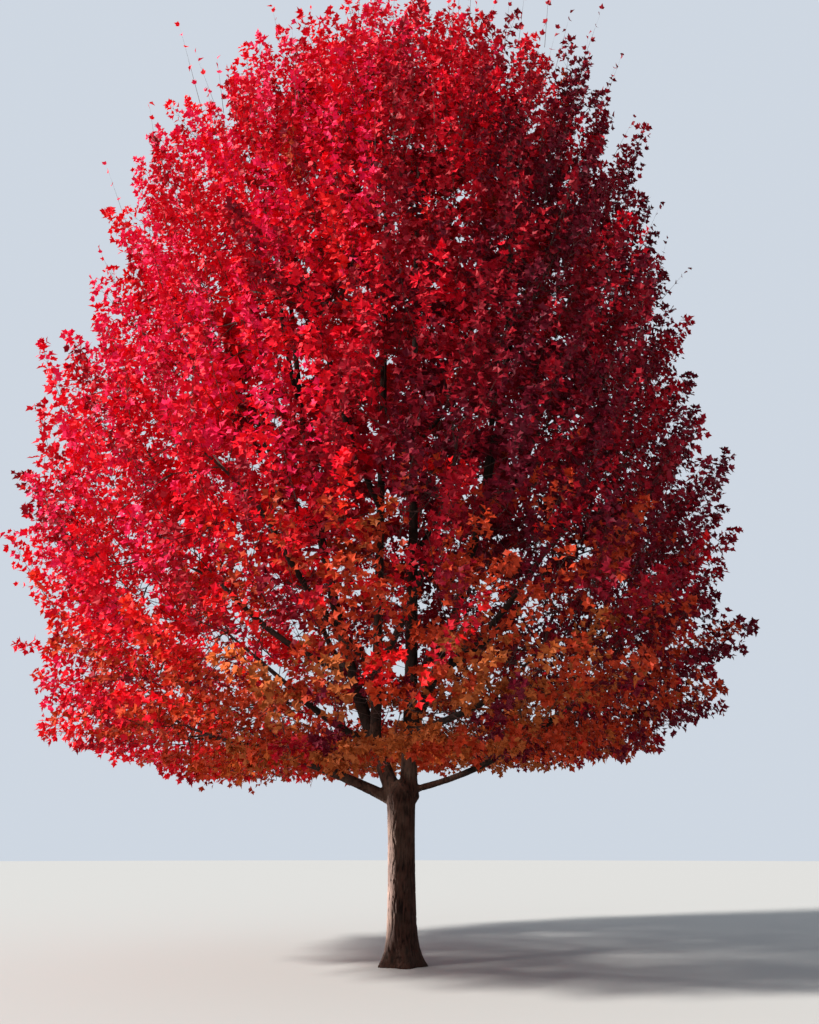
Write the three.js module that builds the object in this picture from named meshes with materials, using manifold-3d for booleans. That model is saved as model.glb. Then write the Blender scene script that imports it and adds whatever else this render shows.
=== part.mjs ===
// A red maple in autumn leaf, 16.8 m tall, as an assembly of separate solids: a trunk with its
// root flare, five ascending leaders, the boughs that they carry, and one mass of foliage at
// every limb's tip. Millimetres, +Z up, origin at the centre of the flat cut at ground level,
// seen from the front along +Y. Each large lobed blade stands for one spray of real leaves.
import * as THREE from "three";
import { mergeVertices } from "three/addons/utils/BufferGeometryUtils.js";
import Module from "manifold-3d";

const wasm = await Module();
wasm.setup();

// Driving sizes in millimetres, angles in degrees, shares of one
const CLEARANCE = 0.4; // between two pieces that meet
const SAME_POINT = 0.001; // points nearer than this are one
const SEED = 41;
const CROWN = {
  bottom: 2570,
  widest: 6300,
  top: 16750,
  radius: 5980,
  leftBulge: 430, // the crown reaches this much further to the left, and less to the right
  topBulge: 0, // and this much at its top
  skirtTaper: 590, // how much narrower the crown is at its bottom edge
  shoulderPower: 2.5,
  shoulderRoot: 2.75,
  skirtPower: 8,
  skirtRoot: 2.2,
  waist: { height: 10120, share: 0.06, spread: 1500 }, // where the crown draws in a little
  edge: { top: 4600, depth: 2000, tilt: 0.035 }, // the lower edge stands higher on the right
};
// Where the crown stands out from its even shape, or back from it
const LOBES = [
  { azimuth: -142, height: 12600, reach: 300 },
  { azimuth: -60, height: 14500, reach: 400 },
  { azimuth: -30, height: 11900, reach: -250 },
  { azimuth: -27, height: 7300, reach: -300 },
  { azimuth: -20, height: 4400, reach: 200 },
  { azimuth: -157, height: 4900, reach: -150 },
];
const LOBE_SPREAD = { turn: 28, height: 1100 };
const TRUNK = {
  forkHeight: 2450,
  headHeight: 2620,
  headShare: 0.62, // of the radius, left at the rounded top between the leaders
  footRadius: 232,
  headRadius: 196,
  taperPower: 0.6,
  forkSwell: 52,
  swellPower: 5,
  flare: 118,
  flareHeight: 190,
  rootLobes: 5,
  lobeDepth: 0.42,
  lobeTurn: 0.7,
  lean: -26,
  sides: 20,
  rings: [0, 90, 220, 420, 800, 1500, 2150, 2450],
};
const LIMB = {
  taperPower: 0.8,
  tipRadius: 44,
  leader: { steps: 8, sides: 8, offset: 94, rise: 0.3, spread: 0.62 },
  bough: { steps: 5, sides: 6, bend: 0.55, sag: 0.22, sagLeast: 60 },
};
const LEADERS = [
  { name: "centre", azimuth: 15, reach: 250, tip: 13300, from: "trunk", start: 2350, foot: 138 },
  { name: "left", azimuth: 172, reach: 2350, tip: 11900, from: "trunk", start: 2330, foot: 128 },
  { name: "right", azimuth: -12, reach: 2250, tip: 11700, from: "centre", start: 3350, foot: 96 },
  { name: "front", azimuth: 262, reach: 2150, tip: 12100, from: "left", start: 3150, foot: 94 },
  { name: "back", azimuth: 84, reach: 2200, tip: 12300, from: "centre", start: 4150, foot: 90 },
];
// drop: how far a tier's boughs end below the middles of their masses
const TIERS = [
  { name: "skirt", count: 6, height: 3950, drop: 600, start: 3050, foot: 58, turn: 0 },
  { name: "waist", count: 7, height: 6900, drop: 950, start: 4300, foot: 62, turn: 0.35 },
  { name: "shoulder", count: 6, height: 9900, drop: 950, start: 6800, foot: 54, turn: 0.1 },
  { name: "upper", count: 5, height: 12900, drop: 950, start: 9400, foot: 46, turn: 0.6 },
];
// Skirt boughs that leave the trunk or a leader lower than the rest of their tier. The left one
// arches up, and the right one leaves level and then rises.
const LOW_BOUGHS = {
  skirt_1: { start: 2420, foot: 52, arch: -400 },
  skirt_4: { start: 2240, foot: 92, arch: 200 },
  skirt_5: { start: 2850, foot: 62 },
};
const MASS = {
  centreShare: 0.74, // of the crown's radius at that height
  rootShare: 0.47,
  crestRise: 2250,
  crestSpread: 0.35,
  azimuthSwing: 7,
  heightSwing: 240,
};
const STEM = { radius: 40, taper: 0.7, steps: 3, stations: 2, bend: 0.4, hubShare: 0.9 };
const TWIG = {
  radius: 22,
  taper: 0.85,
  rootShare: 0.6, // of the radius where it leaves
  leastRadius: 9, // a thinner twig carries no others
  stations: 2,
  stationShift: 0.55,
  collarShare: 0.4, // of the spacing of stations, at most, on each side of one
  perStation: 2, // side twigs at one place, as on a maple
  pairCosine: -0.2, // greatest cosine between those two, seen along their parent
  tries: 20,
  parting: { radii: 4, most: 0.9 }, // a twig is clear of its siblings beyond so many radii
  reach: { leastTurn: 0.12, mostTurn: 1.1, mostBend: 1, leastLength: 5 },
  cost: { turn: 0.7, bend: 0.5, run: 0.25 },
};
const SPRAY = {
  count: 790,
  length: 1750,
  halfWidth: 800,
  thickness: 38,
  sizeSpread: 0.15,
  depth: 0.99,
  depthSpread: 0.06,
  undersideHeight: 3300, // below this the sites lie further apart
  undersideShare: 0.55,
  innerEvery: 6, // every sixth site lies inside the crown
  innerShare: 0.66,
  innerRise: 900,
  hollow: { radius: 3400, rise: 800 }, // the underside rises towards the fork
  scales: [1, 0.85, 0.7],
  shifts: [0, 0.12, 0.24, 0.36],
  gap: 12, // between twigs or blades, and from any limb
  margin: 25, // from the neighbouring mass's space
};
// How sprays point: outward and upward shares, by how far up the crown they stand
const GROWTH = {
  uprightFrom: 0.3, // share of the crown's height above which sprays stand fully upright
  flankLean: 0.25,
  crestFrom: 0.8,
  crestLean: 0.5,
  upward: 1.15,
  droop: 0.2,
  stray: 0.7,
  sky: { outward: 0.35, upward: 0.8, upwardLoss: 0.6 }, // where a blade's face looks
};
// One side of the blade: forward and sideways shares of its length and half width, and its lift
const BLADE = {
  shoulder: [0.4, 1, -0.1],
  notch: [0.6, 0.36, 0.02],
  tip: [1, 0, -0.08],
  middle: [0.42, 0, 0.05],
};

// Seeded numbers, so that the tree is the same every time
function seeded(seed) {
  let state = seed >>> 0;
  return () => {
    state = (Math.imul(state, 1664525) + 1013904223) >>> 0;
    return state / 4294967296;
  };
}
const GOLDEN_ANGLE = Math.PI * (3 - Math.sqrt(5));
const UP = new THREE.Vector3(0, 0, 1);
const rad = THREE.MathUtils.degToRad;
const clamp = THREE.MathUtils.clamp;
const polar = (azimuth, radius, z) =>
  new THREE.Vector3(radius * Math.cos(azimuth), radius * Math.sin(azimuth), z);
const azimuthOf = (point) => Math.atan2(point.y, point.x);
const least = (list, score) => list.reduce((best, item) => (score(item) < score(best) ? item : best));

// How much of a lobe is felt at a height and azimuth
function lobeShare(lobe, z, azimuth) {
  const turned = THREE.MathUtils.euclideanModulo(azimuth - rad(lobe.azimuth) + Math.PI, 2 * Math.PI) - Math.PI;
  const across = turned / rad(LOBE_SPREAD.turn);
  const up = (z - lobe.height) / LOBE_SPREAD.height;
  return Math.exp(-(across ** 2) - up ** 2);
}

// The crown's radius at a height and azimuth
function crownRadius(z, azimuth) {
  const above = clamp((z - CROWN.widest) / (CROWN.top - CROWN.widest), 0, 1);
  const below = clamp((CROWN.widest - z) / (CROWN.widest - CROWN.bottom), 0, 1);
  const shoulder = (1 - above ** CROWN.shoulderPower) ** (1 / CROWN.shoulderRoot);
  const skirt = (1 - below ** CROWN.skirtPower) ** (1 / CROWN.skirtRoot);
  const bulge = THREE.MathUtils.lerp(CROWN.leftBulge, CROWN.topBulge, above) * Math.cos(azimuth);
  const waist = 1 - CROWN.waist.share * Math.exp(-(((z - CROWN.waist.height) / CROWN.waist.spread) ** 2));
  const even = (CROWN.radius - CROWN.skirtTaper * below - bulge) * shoulder * skirt * waist;
  return LOBES.reduce((radius, lobe) => radius + lobe.reach * lobeShare(lobe, z, azimuth), even);
}

// Closed solid from a list of points and triangles
function solid(points, triangles) {
  const geometry = new THREE.BufferGeometry();
  const numbers = points.flatMap((p) => [p.x, p.y, p.z]);
  geometry.setAttribute("position", new THREE.Float32BufferAttribute(numbers, 3));
  geometry.setIndex(triangles.flat());
  const merged = mergeVertices(geometry, SAME_POINT);
  return new wasm.Manifold(
    new wasm.Mesh({
      numProp: 3,
      vertProperties: merged.attributes.position.array,
      triVerts: new Uint32Array(merged.index.array),
    }),
  );
}

// The pairs of faces between two rings of equal point count
function sleeve(low, high) {
  return low.flatMap((_, k) => {
    const next = (k + 1) % low.length;
    return [
      [low[k], low[next], high[next]],
      [low[k], high[next], high[k]],
    ];
  });
}

// Rings of equal point count, joined into a closed tube with a cap at each end
function ringSolid(rings) {
  const sides = rings[0].length;
  const indices = rings.map((ring, r) => ring.map((_, k) => r * sides + k));
  const walls = indices.slice(1).flatMap((ring, r) => sleeve(indices[r], ring));
  const cap = ([first, ...rest]) => rest.slice(1).map((p, k) => [first, rest[k], p]);
  const bottom = cap([...indices[0]].reverse());
  return solid(rings.flat(), [...walls, ...bottom, ...cap(indices[indices.length - 1])]);
}

// A tapering limb along a quadratic curve. grow makes the larger body that cuts a neighbour clear.
class Limb {
  constructor(name, [start, bend, tip], footRadius, tipRadius, { steps, sides }) {
    Object.assign(this, { name, footRadius, tipRadius, steps, sides });
    this.curve = new THREE.QuadraticBezierCurve3(start, bend, tip);
    this.across = bend.clone().sub(start).cross(tip.clone().sub(start)).normalize();
    this.points = this.curve.getPoints(steps);
  }
  radiusAt(t) {
    return this.footRadius + (this.tipRadius - this.footRadius) * t ** LIMB.taperPower;
  }
  pointAtHeight(z) {
    let [low, high] = [0, 1];
    while (high - low > 1e-6) {
      const middle = (low + high) / 2;
      if (this.curve.getPoint(middle).z < z) low = middle;
      else high = middle;
    }
    return this.curve.getPoint(low);
  }
  ring(i, grow) {
    const t = i / this.steps;
    const along = this.curve.getTangent(t);
    const side = this.across.clone().cross(along);
    const shift = i === 0 ? -grow : i === this.steps ? grow : 0;
    const centre = this.points[i].clone().addScaledVector(along, shift);
    const radius = this.radiusAt(t) + grow;
    return Array.from({ length: this.sides }, (_, k) => {
      const turn = (2 * Math.PI * k) / this.sides;
      return centre
        .clone()
        .addScaledVector(side, radius * Math.cos(turn))
        .addScaledVector(this.across, radius * Math.sin(turn));
    });
  }
  body(grow = 0) {
    return ringSolid(this.points.map((_, i) => this.ring(i, grow)));
  }
}

// The trunk: lobed root flare, taper, slight lean and the swelling under the fork
function trunkRadius(z, turn) {
  const share = z / TRUNK.headHeight;
  const taper = TRUNK.footRadius + (TRUNK.headRadius - TRUNK.footRadius) * share ** TRUNK.taperPower;
  const flare = TRUNK.flare * Math.exp(-z / TRUNK.flareHeight);
  const lobes = 1 + TRUNK.lobeDepth * Math.cos(TRUNK.rootLobes * turn + TRUNK.lobeTurn);
  return taper + flare * lobes + TRUNK.forkSwell * share ** TRUNK.swellPower;
}

function trunkBody(grow = 0) {
  const ring = (z, share) =>
    Array.from({ length: TRUNK.sides }, (_, k) => {
      const turn = (2 * Math.PI * k) / TRUNK.sides;
      const point = polar(turn, share * (trunkRadius(z, turn) + grow), z);
      point.x += (TRUNK.lean * z) / TRUNK.headHeight;
      return point;
    });
  const rings = TRUNK.rings.map((z) => ring(z, 1));
  rings[0].forEach((point) => (point.z -= grow));
  return ringSolid([...rings, ring(TRUNK.headHeight + grow, TRUNK.headShare)]);
}

// Leaders: two from the trunk's fork, the rest from the leader that each names
const leaders = [];
for (const { name, azimuth, reach, tip, from, start, foot } of LEADERS) {
  const turn = rad(azimuth);
  const end = polar(turn, reach, tip);
  const parent = leaders.find((leader) => leader.name === `leader_${from}`);
  const origin = parent ? parent.pointAtHeight(start) : polar(turn, LIMB.leader.offset, start);
  const bend = origin.clone().lerp(end, LIMB.leader.spread);
  bend.z = THREE.MathUtils.lerp(origin.z, end.z, LIMB.leader.rise);
  leaders.push(new Limb(`leader_${name}`, [origin, bend, end], foot, LIMB.tipRadius, LIMB.leader));
}

// Boughs, tier by tier. Each leaves the nearest leader, or the trunk, and ends at its mass.
const jitter = seeded(SEED);
const swing = (size) => (2 * jitter() - 1) * size;
const boughs = [];
const masses = [];
for (const tier of TIERS) {
  for (let i = 0; i < tier.count; i++) {
    const name = `${tier.name}_${i + 1}`;
    const plan = { ...tier, ...LOW_BOUGHS[name] };
    const azimuth = rad((360 * (i + tier.turn)) / tier.count + swing(MASS.azimuthSwing));
    const height = tier.height + swing(MASS.heightSwing);
    const reach = crownRadius(height, azimuth);
    const root = polar(azimuth, MASS.rootShare * reach, height - plan.drop);
    const starts = leaders.map((leader) => leader.pointAtHeight(plan.start));
    const inTrunk = plan.start < TRUNK.forkHeight;
    const start = inTrunk ? polar(0, TRUNK.lean, plan.start) : least(starts, (p) => p.distanceTo(root));
    const bend = start.clone().lerp(root, LIMB.bough.bend);
    bend.z += plan.arch ?? -(LIMB.bough.sag * (root.z - start.z) + LIMB.bough.sagLeast);
    const limb = new Limb(`bough_${name}`, [start, bend, root], plan.foot, LIMB.tipRadius, LIMB.bough);
    boughs.push(limb);
    masses.push({ name: `mass_${name}`, centre: polar(azimuth, MASS.centreShare * reach, height), limb });
  }
}
for (const limb of leaders) {
  const tip = limb.points[limb.steps];
  const centre = tip.clone().multiplyScalar(1 + MASS.crestSpread).setZ(tip.z + MASS.crestRise);
  masses.push({ name: limb.name.replace("leader", "mass_crest"), centre, limb });
}

// True where a point is in a mass's own space: nearer to its centre than to any other's
function inOwnSpace(mass, point) {
  return masses.every((other) => {
    if (other === mass) return true;
    const between = other.centre.clone().sub(mass.centre).normalize();
    const middle = mass.centre.clone().lerp(other.centre, 0.5);
    return point.clone().sub(middle).dot(between) < -SPRAY.margin;
  });
}

// Heights that spread points evenly over the crown's outer face
function evenHeights(count) {
  const steps = 400; // rings that the face is measured by
  const height = (i) => CROWN.bottom + ((CROWN.top - CROWN.bottom) * i) / steps;
  const rim = (i) => new THREE.Vector2(crownRadius(height(i), Math.PI / 2), height(i));
  const areas = [0];
  for (let i = 1; i <= steps; i++) {
    const weight = height(i) < SPRAY.undersideHeight ? SPRAY.undersideShare : 1;
    const band = rim(i).distanceTo(rim(i - 1)) * (rim(i).x + rim(i - 1).x);
    areas.push(areas[i - 1] + weight * band);
  }
  return Array.from({ length: count }, (_, k) => {
    const wanted = ((k + 0.5) / count) * areas[steps];
    const i = areas.findIndex((area) => area >= wanted);
    return height(i - 1 + (wanted - areas[i - 1]) / (areas[i] - areas[i - 1]));
  });
}

// Which way a spray grows at a site: upright on the flanks, level and drooping on the skirt
function sprayFrame(site, random) {
  const outward = polar(azimuthOf(site), 1, 0);
  const rise = (site.z - CROWN.bottom) / (CROWN.top - CROWN.bottom);
  const upright = Math.min(rise / GROWTH.uprightFrom, 1);
  const crest = Math.max(0, (rise - GROWTH.crestFrom) / (1 - GROWTH.crestFrom));
  const stray = new THREE.Vector3(random() - 0.5, random() - 0.5, random() - 0.5);
  const along = outward
    .clone()
    .multiplyScalar(1 - GROWTH.flankLean * upright - GROWTH.crestLean * crest)
    .addScaledVector(UP, GROWTH.upward * upright - GROWTH.droop)
    .addScaledVector(stray, GROWTH.stray)
    .normalize();
  const sky = outward
    .clone()
    .multiplyScalar(GROWTH.sky.outward + upright)
    .addScaledVector(UP, GROWTH.sky.upward - GROWTH.sky.upwardLoss * rise);
  const side = sky.cross(along).normalize();
  return { along, side, face: along.clone().cross(side) };
}

// Sites over the crown by the golden angle, each given to the mass whose space holds its middle
function shareSites() {
  const random = seeded(SEED + 1);
  for (const mass of masses) mass.sites = [];
  evenHeights(SPRAY.count).forEach((height, k) => {
    const azimuth = k * GOLDEN_ANGLE;
    const inner = (k + 1) % SPRAY.innerEvery === 0;
    const depth = (inner ? SPRAY.innerShare : SPRAY.depth) + SPRAY.depthSpread * random();
    const z = inner ? Math.max(height, CROWN.bottom + SPRAY.innerRise) : height;
    const reach = crownRadius(z, azimuth) * depth;
    const hollow = z < SPRAY.undersideHeight ? Math.max(0, 1 - reach / SPRAY.hollow.radius) : 0;
    const low = clamp((CROWN.edge.top - z) / CROWN.edge.depth, 0, 1);
    const lift = low * CROWN.edge.tilt * reach * Math.cos(azimuth);
    const tip = polar(azimuth, reach, z + SPRAY.hollow.rise * hollow + lift);
    const frame = sprayFrame(tip, random);
    const size = 1 + SPRAY.sizeSpread * (2 * random() - 1);
    const middle = tip.clone().addScaledVector(frame.along, (-SPRAY.length * size) / 2);
    const owner = least(masses, (mass) => mass.centre.distanceTo(middle));
    owner.sites.push({ tip, size, depth, ...frame });
  });
}

// The blade's five outline points, then the middles of its upper and lower faces
function bladePoints({ base, along, side, face, size }) {
  const at = ([forward, sideways, lift], hand) =>
    base
      .clone()
      .addScaledVector(along, forward * SPRAY.length * size)
      .addScaledVector(side, hand * sideways * SPRAY.halfWidth * size)
      .addScaledVector(face, lift * SPRAY.length * size);
  const { shoulder, notch, tip, middle } = BLADE;
  return [
    at(shoulder, -1),
    at(notch, -1),
    at(tip, 0),
    at(notch, 1),
    at(shoulder, 1),
    at(middle, 0).addScaledVector(face, SPRAY.thickness / 2),
    at(middle, 0).addScaledVector(face, -SPRAY.thickness / 2),
  ];
}

// The blade's faces: a fan from the middle of its upper side, and one from that of its lower
function bladeFaces([ringTop, ringLeft, ringRight], [a, b, c, d, e, top, bottom]) {
  const fan = (loop, face) => loop.map((p, i) => face(p, loop[(i + 1) % loop.length]));
  return [
    ...fan([ringTop, ringLeft, a, b, c, d, e, ringRight], (p, next) => [top, p, next]),
    ...fan([ringLeft, a, b, c, d, e, ringRight], (p, next) => [bottom, next, p]),
  ];
}

// Three points round a twig, the first on the side that faces
function twigRing(centre, along, face, radius) {
  const side = face.clone().cross(along).normalize();
  const level = along.clone().cross(side).normalize();
  return [90, 210, 330].map((degrees) =>
    centre
      .clone()
      .addScaledVector(side, radius * Math.cos(rad(degrees)))
      .addScaledVector(level, radius * Math.sin(rad(degrees))),
  );
}

// The ring where a spray's twig ends and its blade starts, turned halfway from one to the other
function bladeRing({ from, base, along, face, radius }) {
  const through = base.clone().sub(from).normalize().add(along).normalize();
  return twigRing(base, through, face, radius * TWIG.taper);
}

// One twig with its blade as a body of its own, which shows whether it has room
function spraySolid(spray) {
  const twig = spray.base.clone().sub(spray.from).normalize();
  const root = twigRing(spray.from, twig, spray.face, spray.radius);
  const points = [...root, ...bladeRing(spray), ...bladePoints(spray)];
  const indices = points.map((_, i) => i);
  const rings = sleeve(indices.slice(0, 3), indices.slice(3, 6));
  return solid(points, [[0, 2, 1], ...rings, ...bladeFaces(indices.slice(3, 6), indices.slice(6))]);
}

// A mass as one closed mesh. Where twigs leave, their parent has a short collar, and each takes one
// face of it as its root, so the whole mass is fused without a seam.
class MassMesh {
  constructor() {
    this.points = [];
    this.faces = [];
  }
  add(points) {
    const first = this.points.length;
    this.points.push(...points);
    return points.map((_, i) => first + i);
  }
  // Joins a root to a ring, turned so that the sleeve between them has least twist
  join(root, ring) {
    const turned = [0, 1, 2].map((t) => [0, 1, 2].map((k) => root[(k + t) % 3]));
    const twist = (r) => r.reduce((sum, p, k) => sum + this.points[p].distanceTo(this.points[ring[k]]), 0);
    this.faces.push(...sleeve(least(turned, twist), ring));
  }
  // How squarely a face looks at a side twig's end
  aim(face, target) {
    const [a, b, c] = face.map((i) => this.points[i]);
    const normal = b.clone().sub(a).cross(c.clone().sub(a)).normalize();
    const middle = a.clone().add(b).add(c).divideScalar(3);
    return normal.dot(target.clone().sub(middle).normalize());
  }
  // Lays a collar's faces and grows each child out of the one that looks its way, on a side of its own
  collar(faces, children) {
    const open = new Set(faces.keys());
    const sides = new Set();
    for (const child of children) {
      const free = [...open].filter((f) => !sides.has(f >> 1));
      const door = least(free, (f) => -this.aim(faces[f], child.base));
      open.delete(door);
      sides.add(door >> 1);
      this.growTwig(child, faces[door]);
    }
    open.forEach((f) => this.faces.push(faces[f]));
  }
  // Lays a stem or twig from its root, with a collar wherever side twigs leave, and returns its end
  run(stations, root) {
    let last = root;
    for (const { along, point, radius, spacing, children } of stations) {
      if (children.length === 0) continue;
      const half = Math.min(radius, TWIG.collarShare * spacing);
      const away = point.clone().sub(children[0].base);
      const low = this.add(twigRing(point.clone().addScaledVector(along, -half), along, away, radius));
      const high = this.add(twigRing(point.clone().addScaledVector(along, half), along, away, radius));
      this.join(last, low);
      this.collar(sleeve(low, high), children);
      last = high;
    }
    return last;
  }
  growTwig(spray, root) {
    const end = this.run(spray.stations, root);
    const ring = this.add(bladeRing(spray));
    this.join(end, ring);
    this.faces.push(...bladeFaces(ring, this.add(bladePoints(spray))));
  }
  growStem(footRing, stations) {
    const foot = this.add(footRing);
    this.faces.push([...foot].reverse());
    this.faces.push(this.run(stations, foot));
  }
}

// Places along a straight stretch from which side twigs may leave
function stationsOn(body, from, to, count, run, radius) {
  const along = to.clone().sub(from).normalize();
  const length = from.distanceTo(to);
  return Array.from({ length: count }, (_, i) => {
    const share = (i + TWIG.stationShift) / count;
    const point = from.clone().lerp(to, share);
    return { body, along, point, run: run + share * length, radius, spacing: length / count, children: [] };
  });
}

const limbSolids = [];
const clearOf = (body, others, gap) => others.every((other) => body.minGap(other, gap) >= gap);

// Fits the largest blade that has room at a site, or nearer to the mass's centre
function fitBlade(mass, site, bodies) {
  const tips = SPRAY.shifts.map((share) => {
    const tip = site.tip.clone().lerp(mass.centre, share);
    const azimuth = azimuthOf(tip);
    const reach = Math.max(site.depth * crownRadius(tip.z, azimuth), Math.hypot(tip.x, tip.y));
    return polar(azimuth, reach, tip.z);
  });
  const full = site.size;
  for (const scale of SPRAY.scales) {
    site.size = full * scale;
    for (const tip of tips) {
      site.base = tip.clone().addScaledVector(site.along, -SPRAY.length * site.size);
      if (![site.base, ...bladePoints(site)].every((point) => inOwnSpace(mass, point))) continue;
      site.from = site.base.clone().addScaledVector(site.along, -1);
      site.radius = TWIG.radius;
      if (clearOf(spraySolid(site), [...limbSolids, ...bodies], SPRAY.gap)) return true;
    }
  }
  return false;
}

// The places that a twig can come from, best first: near, with little turn, not far from the stem
function rankedPlaces(places, site) {
  const { reach, cost, pairCosine } = TWIG;
  const sideways = ({ point, along }, base) => base.clone().sub(point).projectOnPlane(along).normalize();
  const apart = (place, child) => sideways(place, child.base).dot(sideways(place, site.base)) < pairCosine;
  return places
    .filter(({ children }) => children.length < TWIG.perStation)
    .filter((place) => place.children.every((child) => apart(place, child)))
    .map((place) => {
      const twig = site.base.clone().sub(place.point);
      const length = twig.length();
      const turn = 1 - place.along.dot(twig) / length;
      const bend = 1 - site.along.dot(twig) / length;
      return { place, length, turn, bend };
    })
    .filter(({ turn, bend }) => turn > reach.leastTurn && turn < reach.mostTurn && bend < reach.mostBend)
    .filter(({ place, length }) => length > reach.leastLength * place.radius)
    .map((way) => ({
      place: way.place,
      score: way.length * (1 + cost.turn * way.turn + cost.bend * way.bend) + cost.run * way.place.run,
    }))
    .sort((a, b) => a.score - b.score)
    .slice(0, TWIG.tries)
    .map(({ place }) => place);
}

// Leads a twig to the blade from the best place that keeps it clear of all but its own parent
function attach(places, site, bodies) {
  for (const place of rankedPlaces(places, site)) {
    site.from = place.point;
    site.radius = Math.min(TWIG.radius, TWIG.rootShare * place.radius);
    const body = spraySolid(site);
    const joined = [place.body, ...place.children.map((child) => child.body)];
    const others = bodies.filter((other) => !joined.includes(other));
    if (!clearOf(body, [...limbSolids, ...others], SPRAY.gap)) continue;
    const { radii, most } = TWIG.parting;
    const beyond = Math.min(most, (radii * place.radius) / place.point.distanceTo(site.base));
    const outer = spraySolid({ ...site, from: place.point.clone().lerp(site.base, beyond) });
    if (!clearOf(outer, joined, 1)) continue;
    site.body = body;
    place.children.push(site);
    return place;
  }
  return null;
}

// Grows one mass: its stem, then a twig and blade for every site that has room, inner ones first
function growMass(mass) {
  const { name, centre, limb, sites } = mass;
  const foot = limb.points[limb.steps];
  const outward = limb.curve.getTangent(1);
  const start = foot.clone().addScaledVector(outward, CLEARANCE);
  const hub = foot.clone().lerp(centre, STEM.hubShare);
  const bend = foot.clone().addScaledVector(outward, STEM.bend * foot.distanceTo(hub));
  const shape = { steps: STEM.steps, sides: 3 };
  const stem = new Limb(name, [start, bend, hub], STEM.radius, STEM.radius * STEM.taper, shape);
  const stemBody = stem.body();
  const stretch = start.distanceTo(hub) / STEM.steps;
  const stations = stem.points.slice(1).flatMap((point, i) => {
    const radius = stem.radiusAt((i + 0.5) / STEM.steps);
    return stationsOn(stemBody, stem.points[i], point, STEM.stations, i * stretch, radius);
  });
  const places = [...stations];
  const bodies = [stemBody];
  sites.sort((a, b) => a.tip.distanceTo(hub) - b.tip.distanceTo(hub));
  for (const site of sites) {
    const place = fitBlade(mass, site, bodies) && attach(places, site, bodies);
    if (!place) continue;
    bodies.push(site.body);
    const radius = site.radius * TWIG.taper;
    const count = site.radius > TWIG.leastRadius ? TWIG.stations : 0;
    site.stations = stationsOn(site.body, site.from, site.base, count, place.run, radius);
    places.push(...site.stations);
  }
  const mesh = new MassMesh();
  mesh.growStem(twigRing(start, outward, stem.across, STEM.radius), stations);
  return solid(mesh.points, mesh.faces);
}

// Assembly
const tree = new THREE.Group();
const finish = (color, roughness) => new THREE.MeshStandardMaterial({ color, roughness, metalness: 0 });
const BARK = finish(0x6b5a50, 0.92);
const BOUGH_BARK = finish(0x4a3630, 0.9);
const FOLIAGE = finish(0xb01226, 0.6);

function addNode(name, body, material) {
  const { vertProperties, triVerts } = body.getMesh();
  const geometry = new THREE.BufferGeometry();
  geometry.setAttribute("position", new THREE.BufferAttribute(vertProperties, 3));
  geometry.setIndex(new THREE.BufferAttribute(triVerts, 1));
  const node = new THREE.Mesh(geometry, material);
  node.name = name;
  tree.add(node);
}

limbSolids.push(trunkBody());
addNode("trunk", limbSolids[0], BARK);
const cutters = [trunkBody(CLEARANCE)];
for (const limb of [...leaders, ...boughs]) {
  const pieces = limb.body().subtract(wasm.Manifold.union(cutters)).decompose();
  const body = least(pieces, (piece) => -piece.volume());
  addNode(limb.name, body, leaders.includes(limb) ? BARK : BOUGH_BARK);
  limbSolids.push(body);
  cutters.push(limb.body(CLEARANCE));
}
shareSites();
for (const mass of masses) addNode(mass.name, growMass(mass), FOLIAGE);

export default tree;
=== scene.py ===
"""A red maple in full autumn colour: bark, limbs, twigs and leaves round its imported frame.

The crown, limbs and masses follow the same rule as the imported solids, in metres, and are carried
on from there to finer twigs, to sprays and to single leaves.
"""

import functools
import math
from types import SimpleNamespace as Sizes

import bpy
import numpy as np
from bpy.props import FloatProperty, FloatVectorProperty, IntProperty, PointerProperty
from bpy.types import Operator, Panel, PropertyGroup
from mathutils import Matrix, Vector, noise


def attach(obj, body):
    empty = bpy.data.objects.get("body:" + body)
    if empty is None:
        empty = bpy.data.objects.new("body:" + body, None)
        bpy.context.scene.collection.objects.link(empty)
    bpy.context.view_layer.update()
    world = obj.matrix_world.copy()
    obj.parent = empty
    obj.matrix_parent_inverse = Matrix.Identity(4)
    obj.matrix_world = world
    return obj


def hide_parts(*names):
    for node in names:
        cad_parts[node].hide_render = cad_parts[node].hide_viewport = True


bl_info = {
    "name": "Red Maple in Autumn",
    "version": (1, 0, 0),
    "blender": (4, 5, 0),
    "location": "3D View > Sidebar > Tree",
    "description": "Bark, twigs and autumn leaves of a full-grown red maple",
    "category": "Object",
}

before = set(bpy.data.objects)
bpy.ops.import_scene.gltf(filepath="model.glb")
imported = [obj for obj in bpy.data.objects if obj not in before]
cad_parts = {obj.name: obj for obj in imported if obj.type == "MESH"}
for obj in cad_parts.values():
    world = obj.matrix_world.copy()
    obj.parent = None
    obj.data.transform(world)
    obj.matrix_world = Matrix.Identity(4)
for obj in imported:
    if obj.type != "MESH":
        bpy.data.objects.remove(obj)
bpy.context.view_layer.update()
BODY = "root"

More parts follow.
